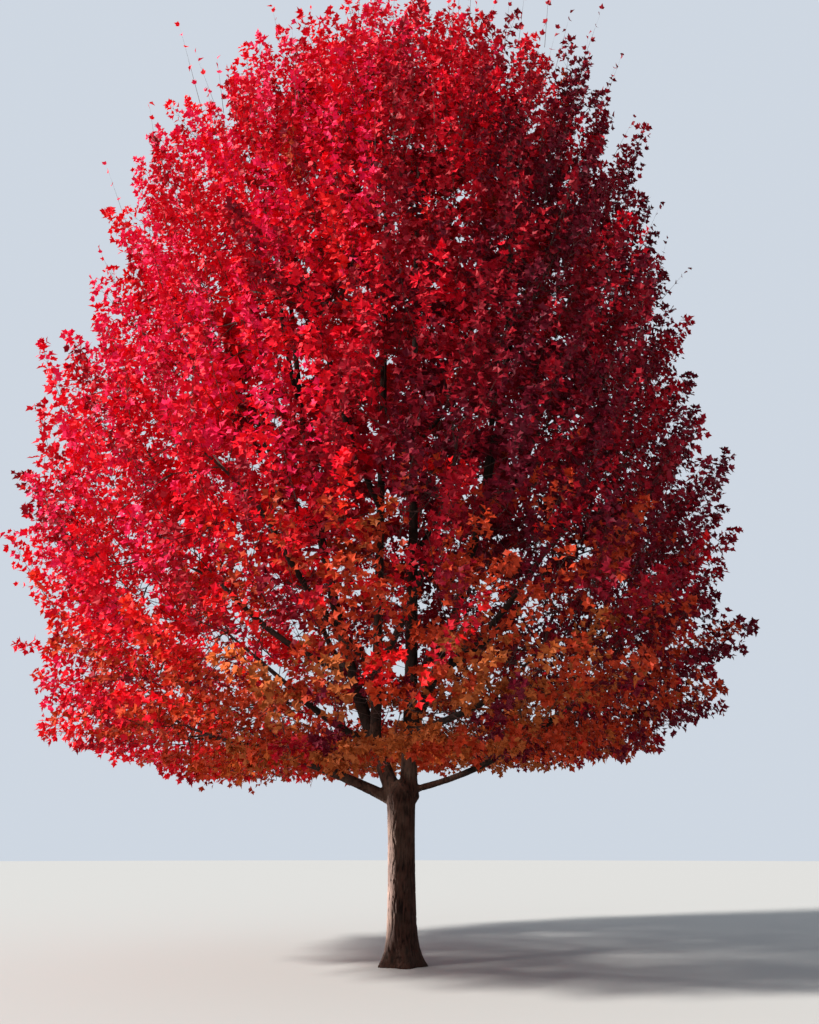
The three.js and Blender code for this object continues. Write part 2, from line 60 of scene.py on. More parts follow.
# The tree's rule, the same as the source's, in metres, degrees and shares of one
SEED = 41
TWIGLET_SEED, LEAF_SEED, SHOOT_SEED = SEED + 3, SEED + 4, SEED + 5
RANDOM = Sizes(factor=1664525, step=1013904223, size=2**32)
CROWN = Sizes(
    bottom=2.57, widest=6.3, top=16.75, radius=5.98, left_bulge=0.43, top_bulge=0.0, skirt_taper=0.59,
    shoulder_power=2.5, shoulder_root=2.75, skirt_power=8, skirt_root=2.2,
    waist_height=10.12, waist_share=0.06, waist_spread=1.5,
    edge_top=4.6, edge_depth=2.0, edge_tilt=0.035,
)
LOBES = (
    Sizes(azimuth=-142, height=12.6, reach=0.3),
    Sizes(azimuth=-60, height=14.5, reach=0.4),
    Sizes(azimuth=-30, height=11.9, reach=-0.25),
    Sizes(azimuth=-27, height=7.3, reach=-0.3),
    Sizes(azimuth=-20, height=4.4, reach=0.2),
    Sizes(azimuth=-157, height=4.9, reach=-0.15),
)
LOBE_SPREAD = Sizes(turn=28, height=1.1)
TRUNK = Sizes(
    fork=2.45, head=2.62, dome=2.3, foot_radius=0.232, head_radius=0.196, fork_swell=0.052,
    lean=-0.026, flare=0.118, flare_height=0.19, root_lobes=5, lobe_depth=0.42, lobe_turn=0.7,
    taper_power=0.6, swell_power=5, sides=72, foot_top=0.5, foot_rings=16, ring_step=0.03, rings=50,
)
TAPER_POWER = 0.8
TIP_RADIUS = 0.044
LEADER = Sizes(offset=0.094, rise=0.3, spread=0.62)
BOUGH = Sizes(bend=0.55, sag=0.22, sag_least=0.06)
LEADERS = (
    Sizes(name="centre", azimuth=15, reach=0.25, tip=13.3, source=None, start=2.35, foot=0.138),
    Sizes(name="left", azimuth=172, reach=2.35, tip=11.9, source=None, start=2.33, foot=0.128),
    Sizes(name="right", azimuth=-12, reach=2.25, tip=11.7, source="centre", start=3.35, foot=0.096),
    Sizes(name="front", azimuth=262, reach=2.15, tip=12.1, source="left", start=3.15, foot=0.094),
    Sizes(name="back", azimuth=84, reach=2.2, tip=12.3, source="centre", start=4.15, foot=0.09),
)
TIERS = (
    Sizes(name="skirt", count=6, height=3.95, drop=0.6, start=3.05, foot=0.058, turn=0.0),
    Sizes(name="waist", count=7, height=6.9, drop=0.95, start=4.3, foot=0.062, turn=0.35),
    Sizes(name="shoulder", count=6, height=9.9, drop=0.95, start=6.8, foot=0.054, turn=0.1),
    Sizes(name="upper", count=5, height=12.9, drop=0.95, start=9.4, foot=0.046, turn=0.6),
)
# Start height and foot radius of the boughs that leave low, and how far two of them arch
LOW_BOUGHS = {"skirt_1": (2.42, 0.052), "skirt_4": (2.24, 0.092), "skirt_5": (2.85, 0.062)}
ARCHED = {"skirt_1": -0.4, "skirt_4": 0.2}
MASS = Sizes(
    centre_share=0.74, root_share=0.47, crest_rise=2.25, crest_spread=0.35,
    azimuth_swing=7, height_swing=0.24,
)
STEM = Sizes(
    bend=0.4, hub_share=0.9, tip_radius=0.013, stations=12, first=0.12, heel=0.04, forks=3, sides=8,
)
# What makes a place on the wood dear to a new twig: how far it has to turn and bend, and its run
COST = Sizes(turn=0.7, bend=0.5, run=0.25, least_turn=0.06, most_turn=1.1)
# A twig keeps its first way for a while, hangs no lower than its ends by more than its sag, and
# thickens with what it carries
TWIG = Sizes(pull=0.5, sag=0.02, stations=5, forks=2, tip_forks=1, thickening=0.45, sides=3)
GOLDEN_ANGLE = math.pi * (3 - math.sqrt(5))
# Steps in which a limb's length and the crown's face are measured
LIMB_STEPS = 40
CROWN_STEPS = 401
SHARE_ERROR = 1e-6

# How far in each plume's tip lies, as a share of the crown's radius, dealt in turn
DEPTHS = (1.02, 0.97, 0.89, 1.0, 0.76, 0.98, 0.93, 0.6, 1.01, 0.96, 0.88, 0.99, 0.7, 0.97, 0.92, 0.42)
DEPTH_SPREAD = 0.035
OUTERMOST_DEPTH = 1.015
# Plumes deeper than this grow across the crown, and none of them as low as the outer ones
INNER_DEPTH = 0.8
INNER_RISE = 0.9
# Only plumes further out than these have wooden twiglets, and whole leaves
TWIGLET_DEPTH = 0.95
WHOLE_LEAF_DEPTH = 1.0
# Plumes as deep and as low as this are bare, so that the limbs show from below
BARE = Sizes(depth=0.66, height=6.2)
# The underside rises round the trunk, and its short plumes lie level
UNDERSIDE = Sizes(
    height=3.3, share=0.6, radius=3.4, rise=0.8, back_tilt=0.04, open_radius=1.5,
    longest=0.2, reach_share=0.5, dip=0.06,
)
# The crown draws in between neighbouring masses
RELIEF = Sizes(notch=0.07, width=1.2)
# Tufts stand out one over another, and the crown draws in over each tuft's tips. Their rows wave
# round the crown: so many waves, and how high each is in tufts.
TUFT = Sizes(height=1.3, reach=0.03, notch=0.085, waves=((3, 0.6), (7, 0.35)))
# Outward and upward shares of the way a plume points, by how far up the crown it stands, and of
# the way that its upper side faces
GROWTH = Sizes(
    upright_from=0.3, flank_lean=0.25, crest_from=0.8, crest_lean=0.5, upward=1.15, droop=0.2,
    mass_stray=0.1, stray=0.18, arch=0.12, inner_level=0.4, inner_turn=0.95,
    face_outward=0.35, face_upward=0.8, face_fade=0.6,
)
# A plume: nodes along its axis, each with a pair of twiglets turned a quarter from node to node, and
# pairs of leaves along every twiglet
PLUME = Sizes(
    nodes=np.array([0.03, 0.15, 0.26, 0.37, 0.47, 0.57, 0.67, 0.77, 0.86, 0.94]),
    twiglets=np.array([0.145, 0.175, 0.185, 0.185, 0.175, 0.16, 0.14, 0.12, 0.1, 0.075]),
    pairs=(2, 2, 2, 3, 3, 2, 2, 2, 2, 2),
    tip_leaves=4, tip_fan=0.9, lengths=(0.75, 1.2),
    axis_shares=np.array([0.33, 0.67, 1.0]), axis_taper=np.array([[0.76, 0.52, 0.25]]),
)
TWIGLET = Sizes(
    roll_stray=0.35, flatness=0.4, fullness=0.45, splay=(0.7, 1.2), lift=0.1,
    lengths=(0.75, 1.25), radius=0.4, sides=3,
)
# Thin shoots out of the crown's upper face, crowding to its top, with a few leaves each
SHOOT = Sizes(
    lowest=0.5, span=0.49, crowding=0.7, turn=1.7, depths=(0.86, 0.95), sink=0.3, lean=0.8,
    upward=0.9, stray=0.12, lengths=(0.55, 1.15), over_top=0.36, across=(0.0, 1.0, 0.3),
    leaf_shares=np.array([0.3, 0.3, 0.52, 0.52, 0.74, 0.9, 1.0]), leaf_lead=0.6, leaf_spread=0.8,
    leaf_sizes=(0.75, 1.1),
)

# One side of a leaf: sideways, forward and lift, in leaf lengths, from the foot of its blade. Its
# faces fold along the middle rib, with a corner, a side lobe and a notch on each half.
LEAF_SIDE = ((0.33, 0.1, 0.03), (0.55, 0.5, 0.09), (0.26, 0.59, 0.04))
LEAF_POINTS = np.array([(0, 0, 0), (0, 1, -0.06), *LEAF_SIDE, *[(-x, y, z) for x, y, z in LEAF_SIDE]])
LEAF_FACES = np.array([(0, 2, 3), (0, 3, 4), (0, 4, 1), (0, 6, 5), (0, 7, 6), (0, 1, 7)])
# All but the outermost leaves leave out the lower corners
INNER_FACES = np.array([(0, 3, 4), (0, 4, 1), (0, 7, 6), (0, 1, 7)])
# How a leaf leaves its twig, turns to the light, folds and droops, in shares of its length
LEAF = Sizes(
    lead=0.3, spread=0.8, stray=0.32, hang=0.22, outward=0.8, upward=0.55, tilt=0.5,
    folds=(0.2, 2.0), droops=(-0.05, 0.28), sizes=(0.72, 1.22),
)
# Leaves grow larger in the shade inside, but not low down, where they show
SHADE_LEAF = Sizes(growth=4.0, depth=0.95, most=0.85, low=3.6, rise=3.2)

# Leaf tints: where each belongs, from the sunny to the shaded side and from the crown's face to
# its low inside, and its colour. Along the shade share the tints carry painted light and shade:
# lighter on the sunny left, darker to the shaded right.
TINTS = (
    Sizes(name="scarlet", shade=0.1, rust=0.1, colour=(248, 15, 38)),
    # The rose tint, the pinkest, goes to the very edge of the sunny side as a painted sunlit sheen
    Sizes(name="rose", shade=-0.02, rust=0.0, colour=(242, 30, 86)),
    Sizes(name="crimson", shade=0.3, rust=0.05, colour=(222, 8, 38)),
    Sizes(name="cherry", shade=0.32, rust=0.3, colour=(226, 22, 26)),
    Sizes(name="ruby", shade=0.52, rust=0.08, colour=(172, 6, 30)),
    Sizes(name="wine", shade=0.72, rust=0.05, colour=(148, 8, 30)),
    Sizes(name="maroon", shade=0.88, rust=0.1, colour=(126, 7, 29)),
    Sizes(name="plum", shade=1.02, rust=0.0, colour=(100, 7, 30)),
    Sizes(name="vermilion", shade=0.12, rust=0.5, colour=(232, 48, 24)),
    Sizes(name="rust", shade=0.45, rust=0.6, colour=(194, 62, 28)),
    Sizes(name="russet", shade=0.78, rust=0.5, colour=(176, 54, 26)),
    Sizes(name="amber", shade=0.3, rust=0.95, colour=(204, 94, 40)),
    Sizes(name="bronze", shade=0.76, rust=0.9, colour=(172, 86, 40)),
)

# How the tints lie: painted shade grows from the sunny left to the right, inwards and lower down,
# rust in the low middle and inside, and both vary from mass to mass, from plume to plume and from
# spray to spray
SHADE = Sizes(
    middle=0.5, swing=0.45, tilt=0.3, level=9, edge=0.25, width=2.1, low=0.04, inside=0.42,
    depth=0.93, masses=0.07, plumes=0.22, sprays=0.05,
)
RUST = Sizes(
    share=0.92, middle=0.5, width=4.0, height=4.0, inside=0.3, depth=0.9, high=0.4,
    masses=0.06, plumes=0.28, sprays=0.06,
)

# Bark: noise over it, in shares of one, and the relief of its plates, cracks and finer grain
STREAKS = Sizes(scale=1.0, detail=5.0, roughness=0.62, trunk=36.0, limb=40.0, length=0.16)
PATCHES = Sizes(scale=3.2, detail=3.0, roughness=0.55, gain=2.4, start=1.05, share=0.55)
GRAIN = Sizes(scale=150.0, detail=3.0, roughness=0.7, gain=1.6, start=0.55, share=0.35)
BARK = Sizes(
    relief=0.8, streaks=1.8, start=0.9, polish=0.14, gloss=0.2, bump=0.7, bump_depth=0.01, level=0.8,
)
PLATE = Sizes(
    warp=0.35, warp_scale=3, furrow=0.16, crack=0.1, crack_width=0.7, crack_rise=4.5,
    crack_place=Vector((7, 3, 5)), crack_depth=0.28, fine_scale=3.1, fine_share=0.14,
)
LIMB_PLATE = Sizes(depth=0.1, width=0.032, length=0.2)
# Roughness and gloss of plain finishes
PLAIN = Sizes(twig=0.8, leaf=0.55, leaf_gloss=0.15, floor=0.9, gloss=0.4)
# Which of a Mix node's sockets are for colours
COLOUR_MIX = Sizes(factor=0, under=6, over=7, result=2)

# Limbs: the collar where one leaves its parent, the feet that are fused with the trunk, and rings
COLLAR = Sizes(swell=0.3, run=2.2)
FUSED = Sizes(
    rise=0.3, reach=1.1, overlap=0.12, spacing=0.04, sides=24, heel_share=0.3, heel=1.5,
    smoothing=0.5, rounds=7,
)
RINGS = {"leader": Sizes(spacing=0.042, sides=18), "bough": Sizes(spacing=0.056, sides=12)}
FEWEST_RINGS = 4

# The photograph's frame and viewpoint
PHOTO = Sizes(width=819, height=1024, focal=820.0, pitch=22.5, eye=1.55, distance=13.66, right=0.11)
SENSOR = 36.0
CLIP_END = 500
FLOOR_SIDES = 96
LIGHT_COLOUR = (1.0, 0.96, 0.9)
RIM = Sizes(height=0.75, rise=0.05, width=13.5, blend=0.7, size=0.4)


def unit(vectors):
    """Vectors of length one, along the last axis."""
    return vectors / np.linalg.norm(vectors, axis=-1, keepdims=True)


def polar(azimuth, radius, z):
    """Points from azimuth, radius and height."""
    x, y = radius * np.cos(azimuth), radius * np.sin(azimuth)
    return np.stack(np.broadcast_arrays(x, y, z), axis=-1)


def dots(a, b):
    """Dot products along the last axis, kept as a column."""
    return np.sum(a * b, axis=-1, keepdims=True)


def turns(count):
    """Evenly spread angles of one full turn."""
    return 2 * np.pi * np.arange(count) / count


def linear(colour):
    """A linear colour from three sRGB bytes."""
    shares = [c / 255 for c in colour]
    return tuple(c / 12.92 if c <= 0.04045 else ((c + 0.055) / 1.055) ** 2.4 for c in shares)


def swings(seed):
    """The source's seeded numbers, from -1 to 1."""
    state = seed
    while True:
        state = (state * RANDOM.factor + RANDOM.step) % RANDOM.size
        yield 2 * state / RANDOM.size - 1


def crown_radius(z, azimuth):
    """The crown's radius at a height and azimuth."""
    above = np.clip((z - CROWN.widest) / (CROWN.top - CROWN.widest), 0, 1)
    below = np.clip((CROWN.widest - z) / (CROWN.widest - CROWN.bottom), 0, 1)
    shoulder = (1 - above**CROWN.shoulder_power) ** (1 / CROWN.shoulder_root)
    skirt = (1 - below**CROWN.skirt_power) ** (1 / CROWN.skirt_root)
    bulge = CROWN.left_bulge + (CROWN.top_bulge - CROWN.left_bulge) * above
    waist = 1 - CROWN.waist_share * np.exp(-(((z - CROWN.waist_height) / CROWN.waist_spread) ** 2))
    widest = CROWN.radius - CROWN.skirt_taper * below - bulge * np.cos(azimuth)
    radius = widest * shoulder * skirt * waist
    for lobe in LOBES:
        turned = (azimuth - math.radians(lobe.azimuth) + math.pi) % (2 * math.pi) - math.pi
        across = turned / math.radians(LOBE_SPREAD.turn)
        up = (z - lobe.height) / LOBE_SPREAD.height
        radius = radius + lobe.reach * np.exp(-(across**2) - up**2)
    return radius


class Limb:
    """A tapering limb along a quadratic curve, as in the source."""

    def __init__(self, name, start, bend, tip, foot_radius, tip_radius=TIP_RADIUS):
        self.name = name
        self.start, self.bend, self.tip = start, bend, tip
        self.foot_radius, self.tip_radius = foot_radius, tip_radius
        self.across = unit(np.cross(bend - start, tip - start))

    def point(self, t):
        """Points at shares t of the way along."""
        t = np.asarray(t, float)[..., None]
        return (1 - t) ** 2 * self.start + 2 * t * (1 - t) * self.bend + t**2 * self.tip

    def tangent(self, t):
        """The limb's way at shares t."""
        t = np.asarray(t, float)[..., None]
        return unit((1 - t) * (self.bend - self.start) + t * (self.tip - self.bend))

    def radius(self, t):
        """The limb's radius at shares t."""
        return self.foot_radius + (self.tip_radius - self.foot_radius) * np.asarray(t) ** TAPER_POWER

    def share_at_height(self, z):
        """How far along the limb reaches height z."""
        low, high = 0.0, 1.0
        while high - low > SHARE_ERROR:
            middle = (low + high) / 2
            if self.point(middle)[2] < z:
                low = middle
            else:
                high = middle
        return low

    def length(self):
        """The limb's length along its curve."""
        points = self.point(np.linspace(0, 1, LIMB_STEPS))
        return np.linalg.norm(np.diff(points, axis=0), axis=1).sum()


@functools.lru_cache(maxsize=1)
def plan():
    """Leaders, boughs and masses by the source's rule."""
    leaders = {}
    for row in LEADERS:
        turn = math.radians(row.azimuth)
        tip = polar(turn, row.reach, row.tip)
        if row.source:
            source = leaders[row.source]
            start = source.point(source.share_at_height(row.start))
        else:
            start = polar(turn, LEADER.offset, row.start)
        bend = start + LEADER.spread * (tip - start)
        bend[2] = start[2] + LEADER.rise * (tip[2] - start[2])
        leaders[row.name] = Limb(f"leader_{row.name}", start, bend, tip, row.foot)
    swing = swings(SEED)
    boughs, masses = [], []
    for tier in TIERS:
        for i in range(tier.count):
            name = f"{tier.name}_{i + 1}"
            start_height, foot = LOW_BOUGHS.get(name, (tier.start, tier.foot))
            degrees = 360 * (i + tier.turn) / tier.count + MASS.azimuth_swing * next(swing)
            azimuth = math.radians(degrees)
            height = tier.height + MASS.height_swing * next(swing)
            reach = crown_radius(height, azimuth)
            root = polar(azimuth, MASS.root_share * reach, height - tier.drop)
            starts = [limb.point(limb.share_at_height(start_height)) for limb in leaders.values()]
            start = min(starts, key=lambda p: np.linalg.norm(p - root))
            if start_height < TRUNK.fork:
                start = np.array([TRUNK.lean, 0, start_height])
            bend = start + BOUGH.bend * (root - start)
            bend[2] += ARCHED.get(name, -BOUGH.sag * (root[2] - start[2]) - BOUGH.sag_least)
            limb = Limb(f"bough_{name}", start, bend, root, foot)
            boughs.append(limb)
            centre = polar(azimuth, MASS.centre_share * reach, height)
            masses.append(Sizes(name=f"mass_{name}", centre=centre, limb=limb))
    for name, limb in leaders.items():
        centre = limb.tip * np.array([1 + MASS.crest_spread, 1 + MASS.crest_spread, 1])
        centre[2] += MASS.crest_rise
        masses.append(Sizes(name=f"mass_crest_{name}", centre=centre, limb=limb))
    return Sizes(leaders=list(leaders.values()), boughs=boughs, masses=masses)


def even_heights(count):
    """Heights that spread points evenly over the crown's outer face."""
    z = np.linspace(CROWN.bottom, CROWN.top, CROWN_STEPS)
    rim = crown_radius(z, math.pi / 2)
    band = np.hypot(np.diff(rim), np.diff(z)) * (rim[1:] + rim[:-1])
    band *= np.where(z[1:] < UNDERSIDE.height, UNDERSIDE.share, 1)
    areas = np.concatenate([[0], np.cumsum(band)])
    return np.interp((np.arange(count) + 0.5) / count * areas[-1], areas, z)


def plume_frames(tips, stray, inner):
    """Which way each plume grows: upright on the flanks, level on the skirt and across inside."""
    outward = polar(np.arctan2(tips[:, 1], tips[:, 0]), 1.0, 0.0)
    up = np.array([0.0, 0.0, 1.0])
    rise = (tips[:, 2:] - CROWN.bottom) / (CROWN.top - CROWN.bottom)
    upright = np.clip(rise / GROWTH.upright_from, 0, 1) * (1 - GROWTH.inner_level * np.abs(inner))
    stray = stray + GROWTH.inner_turn * inner * np.cross(up, outward)
    crest = np.maximum(0, (rise - GROWTH.crest_from) / (1 - GROWTH.crest_from))
    lean = outward * (1 - GROWTH.flank_lean * upright - GROWTH.crest_lean * crest)
    along = unit(lean + up * (GROWTH.upward * upright - GROWTH.droop) + stray)
    sky = outward * (GROWTH.face_outward + upright)
    sky = sky + up * (GROWTH.face_upward - GROWTH.face_fade * rise)
    side = unit(np.cross(sky, along))
    return along, side, upright


def hermite(start, leave, end, arrive, shares):
    """Points on curves that leave and arrive with the given directions."""
    t = shares[:, None]
    span = TWIG.pull * np.linalg.norm(end - start)
    a = 2 * t**3 - 3 * t**2 + 1
    b = t**3 - 2 * t**2 + t
    c = t**3 - t**2
    return a * start + b * span * leave + (1 - a) * end + c * span * arrive


def mass_stem(mass):
    """The stem inside a mass, growing on from its limb's tip."""
    outward = mass.limb.tangent(1.0)
    foot = mass.limb.tip - outward * STEM.heel
    hub = foot + STEM.hub_share * (mass.centre - foot)
    bend = foot + outward * STEM.bend * np.linalg.norm(hub - foot)
    return Limb(mass.name, foot, bend, hub, TIP_RADIUS, STEM.tip_radius)


def grow_mass(mass, bases, alongs):
    """Leads a twig to every spray of one mass, each from the best place so far, inner ones first."""
    stem = mass_stem(mass)
    shares = np.linspace(STEM.first, 1, STEM.stations)
    path_shares = np.linspace(0, 1, TWIG.stations)
    points = list(stem.point(shares))
    ways = list(stem.tangent(shares))
    runs = list(shares * stem.length())
    owners = [-1] * len(points)
    free = [STEM.forks] * len(points)
    order = np.argsort(np.linalg.norm(bases - stem.tip, axis=1))
    paths = np.zeros((len(bases), len(path_shares), 3))
    parents = np.full(len(bases), -1)
    for index in order:
        delta = bases[index] - np.array(points)
        span = np.linalg.norm(delta, axis=1)
        turn = 1 - np.sum(np.array(ways) * delta, axis=1) / span
        bend = 1 - delta @ alongs[index] / span
        score = span * (1 + COST.turn * turn + COST.bend * bend) + COST.run * np.array(runs)
        open_places = np.array(free) > 0
        kindly = open_places & (turn > COST.least_turn) & (turn < COST.most_turn)
        allowed = kindly if kindly.any() else open_places
        best = int(np.argmin(np.where(allowed, score, np.inf)))
        free[best] -= 1
        parents[index] = owners[best]
        leave = unit(ways[best] + delta[best] / span[best])
        path = hermite(points[best], leave, bases[index], alongs[index], path_shares)
        path[:, 2] = np.maximum(path[:, 2], min(path[0, 2], path[-1, 2]) - TWIG.sag)
        paths[index] = path
        for i in (len(path) // 3, 2 * len(path) // 3, len(path) - 1):
            points.append(path[i])
            ways.append(unit(path[i] - path[i - 1]))
            runs.append(runs[best] + span[best] * path_shares[i])
            owners.append(index)
            free.append(TWIG.forks if i < len(path) - 1 else TWIG.tip_forks)
    loads = np.ones(len(bases))
    for index in order[::-1]:
        if parents[index] >= 0:
            loads[parents[index]] += loads[index]
    return stem, paths, loads


def distances(points, centres):
    """Distances from every point to every centre."""
    return np.linalg.norm(points[:, None] - centres[None], axis=2)


def crown_reach(z, azimuth, depth, centres):
    """How far out plumes reach: less between masses and for inner ones, and in tufts at the face."""
    reach = crown_radius(z, azimuth)
    near = np.sort(distances(polar(azimuth, reach, z), centres), axis=1)
    border = np.clip(1 - (near[:, 1] - near[:, 0]) / RELIEF.width, 0, 1)
    reach = reach * depth * (1 - RELIEF.notch * border)
    wave = sum(share * np.sin(count * azimuth + count) for count, share in TUFT.waves)
    climb = z / TUFT.height + wave
    tufted = 1 + TUFT.reach - TUFT.notch * (1 - climb % 1)
    return np.where((z > UNDERSIDE.height) & (depth > INNER_DEPTH), reach * tufted, reach)


def crown_places(count, centres, random):
    """Height, azimuth, depth and reach of plumes that lie evenly spread, with the underside open."""
    z = even_heights(count)
    index = np.arange(count)
    azimuth = index * GOLDEN_ANGLE
    depth = np.array(DEPTHS)[index % len(DEPTHS)] + random.uniform(-DEPTH_SPREAD, DEPTH_SPREAD, count)
    depth = np.minimum(depth, OUTERMOST_DEPTH)
    z = np.where(depth < INNER_DEPTH, np.maximum(z, CROWN.bottom + INNER_RISE), z)
    reach = crown_reach(z, azimuth, depth, centres)
    keep = (z > UNDERSIDE.height) | (reach > UNDERSIDE.open_radius)
    return [values[keep] for values in (z, azimuth, depth, reach)]


def plume_tips(z, azimuth, reach):
    """The plumes' tips, higher round the trunk on the underside, and with the low edge tilted."""
    hollow = np.where(z < UNDERSIDE.height, np.maximum(0, 1 - reach / UNDERSIDE.radius), 0)
    low = np.clip((CROWN.edge_top - z) / CROWN.edge_depth, 0, 1)
    tilt = CROWN.edge_tilt * np.cos(azimuth) + UNDERSIDE.back_tilt * np.sin(azimuth)
    return polar(azimuth, reach, z + UNDERSIDE.rise * hollow + low * reach * tilt)


@functools.lru_cache(maxsize=1)
def foliage(count, length):
    """Every plume of the crown, with the twig that carries it."""
    random = np.random.default_rng(SEED)
    masses = plan().masses
    centres = np.array([mass.centre for mass in masses])
    z, azimuth, depth, reach = crown_places(count, centres, random)
    count = len(z)
    tips = plume_tips(z, azimuth, reach)
    mass_stray = random.normal(0, GROWTH.mass_stray, (len(masses), 3))
    stray = mass_stray[np.argmin(distances(tips, centres), axis=1)]
    stray = stray + random.normal(0, GROWTH.stray, (count, 3))
    inner = np.where(depth < INNER_DEPTH, random.choice([-1, 1], count), 0)[:, None]
    along, side, upright = plume_frames(tips, stray, inner)
    size = random.uniform(*PLUME.lengths, count) * length
    under = z < UNDERSIDE.height
    longest = UNDERSIDE.longest + UNDERSIDE.reach_share * reach
    size = np.where(under, np.minimum(size, longest), size)[:, None]
    bases = tips - along * size
    bases[:, 2] = np.where(under, np.maximum(bases[:, 2], tips[:, 2] - UNDERSIDE.dip), bases[:, 2])
    size = np.linalg.norm(tips - bases, axis=1, keepdims=True)
    along = (tips - bases) / size
    side = unit(np.cross(np.cross(along, side), along))
    owner = np.argmin(distances((tips + bases) / 2, centres), axis=1)
    paths = np.zeros((count, TWIG.stations, 3))
    loads = np.zeros(count)
    stems = []
    for i, mass in enumerate(masses):
        mine = owner == i
        stem, paths[mine], loads[mine] = grow_mass(mass, bases[mine], along[mine])
        stems.append(stem)
    mass_shift = random.normal(0, 1, (len(masses), 2))[owner]
    return Sizes(
        base=bases, along=along, side=side, face=np.cross(along, side), size=size, depth=depth,
        upright=upright, owner=owner, paths=paths, loads=loads, stems=stems,
        mass_shift=mass_shift, shift=random.normal(0, 1, (count, 2)),
    )


def plume_axis(plumes, u):
    """Points at shares u along every plume's arched axis, and its direction there."""
    u = np.atleast_1d(u)[None, :, None]
    rows = plumes.base, plumes.along, plumes.face, plumes.size
    base, along, face, size = (row[:, None] for row in rows)
    points = base + along * size * u + face * size * GROWTH.arch * (u - u**2)
    ways = unit(along + face * GROWTH.arch * (1 - 2 * u))
    return points, ways


@functools.lru_cache(maxsize=1)
def twiglets(count, length):
    """Feet, directions and lengths of every plume's twiglets, a pair to each node."""
    plumes = foliage(count, length)
    count = len(plumes.base)
    random = np.random.default_rng(TWIGLET_SEED)
    nodes = len(PLUME.nodes)
    feet, ways = plume_axis(plumes, PLUME.nodes)
    roll = (np.arange(nodes) % 2) * math.pi / 2 + random.normal(0, TWIGLET.roll_stray, (count, nodes))
    side, face = plumes.side[:, None], plumes.face[:, None]
    flatten = (TWIGLET.flatness + TWIGLET.fullness * plumes.upright)[:, None]
    lateral = side * np.cos(roll)[..., None] + face * flatten * np.sin(roll)[..., None]
    lateral = unit(lateral)[:, :, None] * np.array([1, -1])[None, None, :, None]
    splay = random.uniform(*TWIGLET.splay, (count, nodes, 2, 1))
    direction = unit(ways[:, :, None] + lateral * splay + np.array([0, 0, TWIGLET.lift]))
    lengths = plumes.size[:, None, None] * PLUME.twiglets[None, :, None, None]
    lengths = lengths * random.uniform(*TWIGLET.lengths, (count, nodes, 2, 1))
    feet = np.broadcast_to(feet[:, :, None], direction.shape)
    return (
        feet.reshape(-1, nodes * 2, 3), direction.reshape(-1, nodes * 2, 3),
        lengths.reshape(-1, nodes * 2, 1),
    )


def mesh_object(name, vertices, faces, smooth=False):
    """A mesh object from arrays of vertices and of faces of one corner count."""
    mesh = bpy.data.meshes.new(name)
    mesh.vertices.add(len(vertices))
    mesh.vertices.foreach_set("co", np.ascontiguousarray(vertices, np.float32).ravel())
    mesh.loops.add(faces.size)
    mesh.loops.foreach_set("vertex_index", np.ascontiguousarray(faces, np.int32).ravel())
    mesh.polygons.add(len(faces))
    starts = np.arange(0, faces.size, faces.shape[1], dtype=np.int32)
    mesh.polygons.foreach_set("loop_start", starts)
    mesh.polygons.foreach_set("use_smooth", np.full(len(faces), smooth))
    mesh.update(calc_edges=True)
    mesh.validate()
    obj = bpy.data.objects.new(name, mesh)
    bpy.context.scene.collection.objects.link(obj)
    return obj


def place(obj, material, slot, *nodes):
    """Finishes a piece: its material, the body it rides on and the nodes it replaces; its slot is not
    used.
    """
    obj.data.materials.append(material)
    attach(obj, BODY)
    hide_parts(*nodes)


def ring_corners(sides):
    """Corners of the quads between one ring and the next."""
    k = np.arange(sides)
    return np.stack([k, (k + 1) % sides, (k + 1) % sides + sides, k + sides], axis=-1)


def tubes(paths, radii, across, sides):
    """Vertices and quads of open tubes along many paths of equal point count."""
    count, steps = paths.shape[:2]
    ways = unit(np.gradient(paths, axis=1))
    first = unit(np.cross(ways[:, 0], across))
    rings = []
    turn = turns(sides)[None, :, None]
    for i in range(steps):
        first = unit(first - dots(first, ways[:, i]) * ways[:, i])
        second = np.cross(ways[:, i], first)
        ring = first[:, None] * np.cos(turn) + second[:, None] * np.sin(turn)
        rings.append(paths[:, i, None] + ring * radii[:, i, None, None])
    vertices = np.stack(rings, axis=1)
    offsets = (np.arange(count)[:, None] * steps + np.arange(steps - 1)[None]) * sides
    faces = ring_corners(sides)[None, None] + offsets[..., None, None]
    return vertices.reshape(-1, 3), faces.reshape(-1, 4)


def spikes(feet, tips, radius, across):
    """Vertices and triangles of three-sided twiglets that end in a point."""
    ways = unit(tips - feet)
    first = unit(np.cross(ways, across))
    second = np.cross(ways, first)
    turn = turns(TWIGLET.sides)
    ring = first[:, None] * np.cos(turn)[:, None] + second[:, None] * np.sin(turn)[:, None]
    ring = feet[:, None] + radius * ring
    vertices = np.concatenate([ring, tips[:, None]], axis=1)
    k = np.arange(TWIGLET.sides)
    corners = np.stack([k, (k + 1) % len(k), np.full(len(k), len(k))], axis=-1)
    faces = corners[None] + (len(k) + 1) * np.arange(len(feet))[:, None, None]
    return vertices.reshape(-1, 3), faces.reshape(-1, 3)


def joined(parts):
    """One pair of arrays from several, with the faces' numbers moved on."""
    vertices = np.concatenate([part[0] for part in parts])
    starts = np.cumsum([0] + [len(part[0]) for part in parts[:-1]])
    faces = np.concatenate([part[1] + start for part, start in zip(parts, starts)])
    return vertices, faces


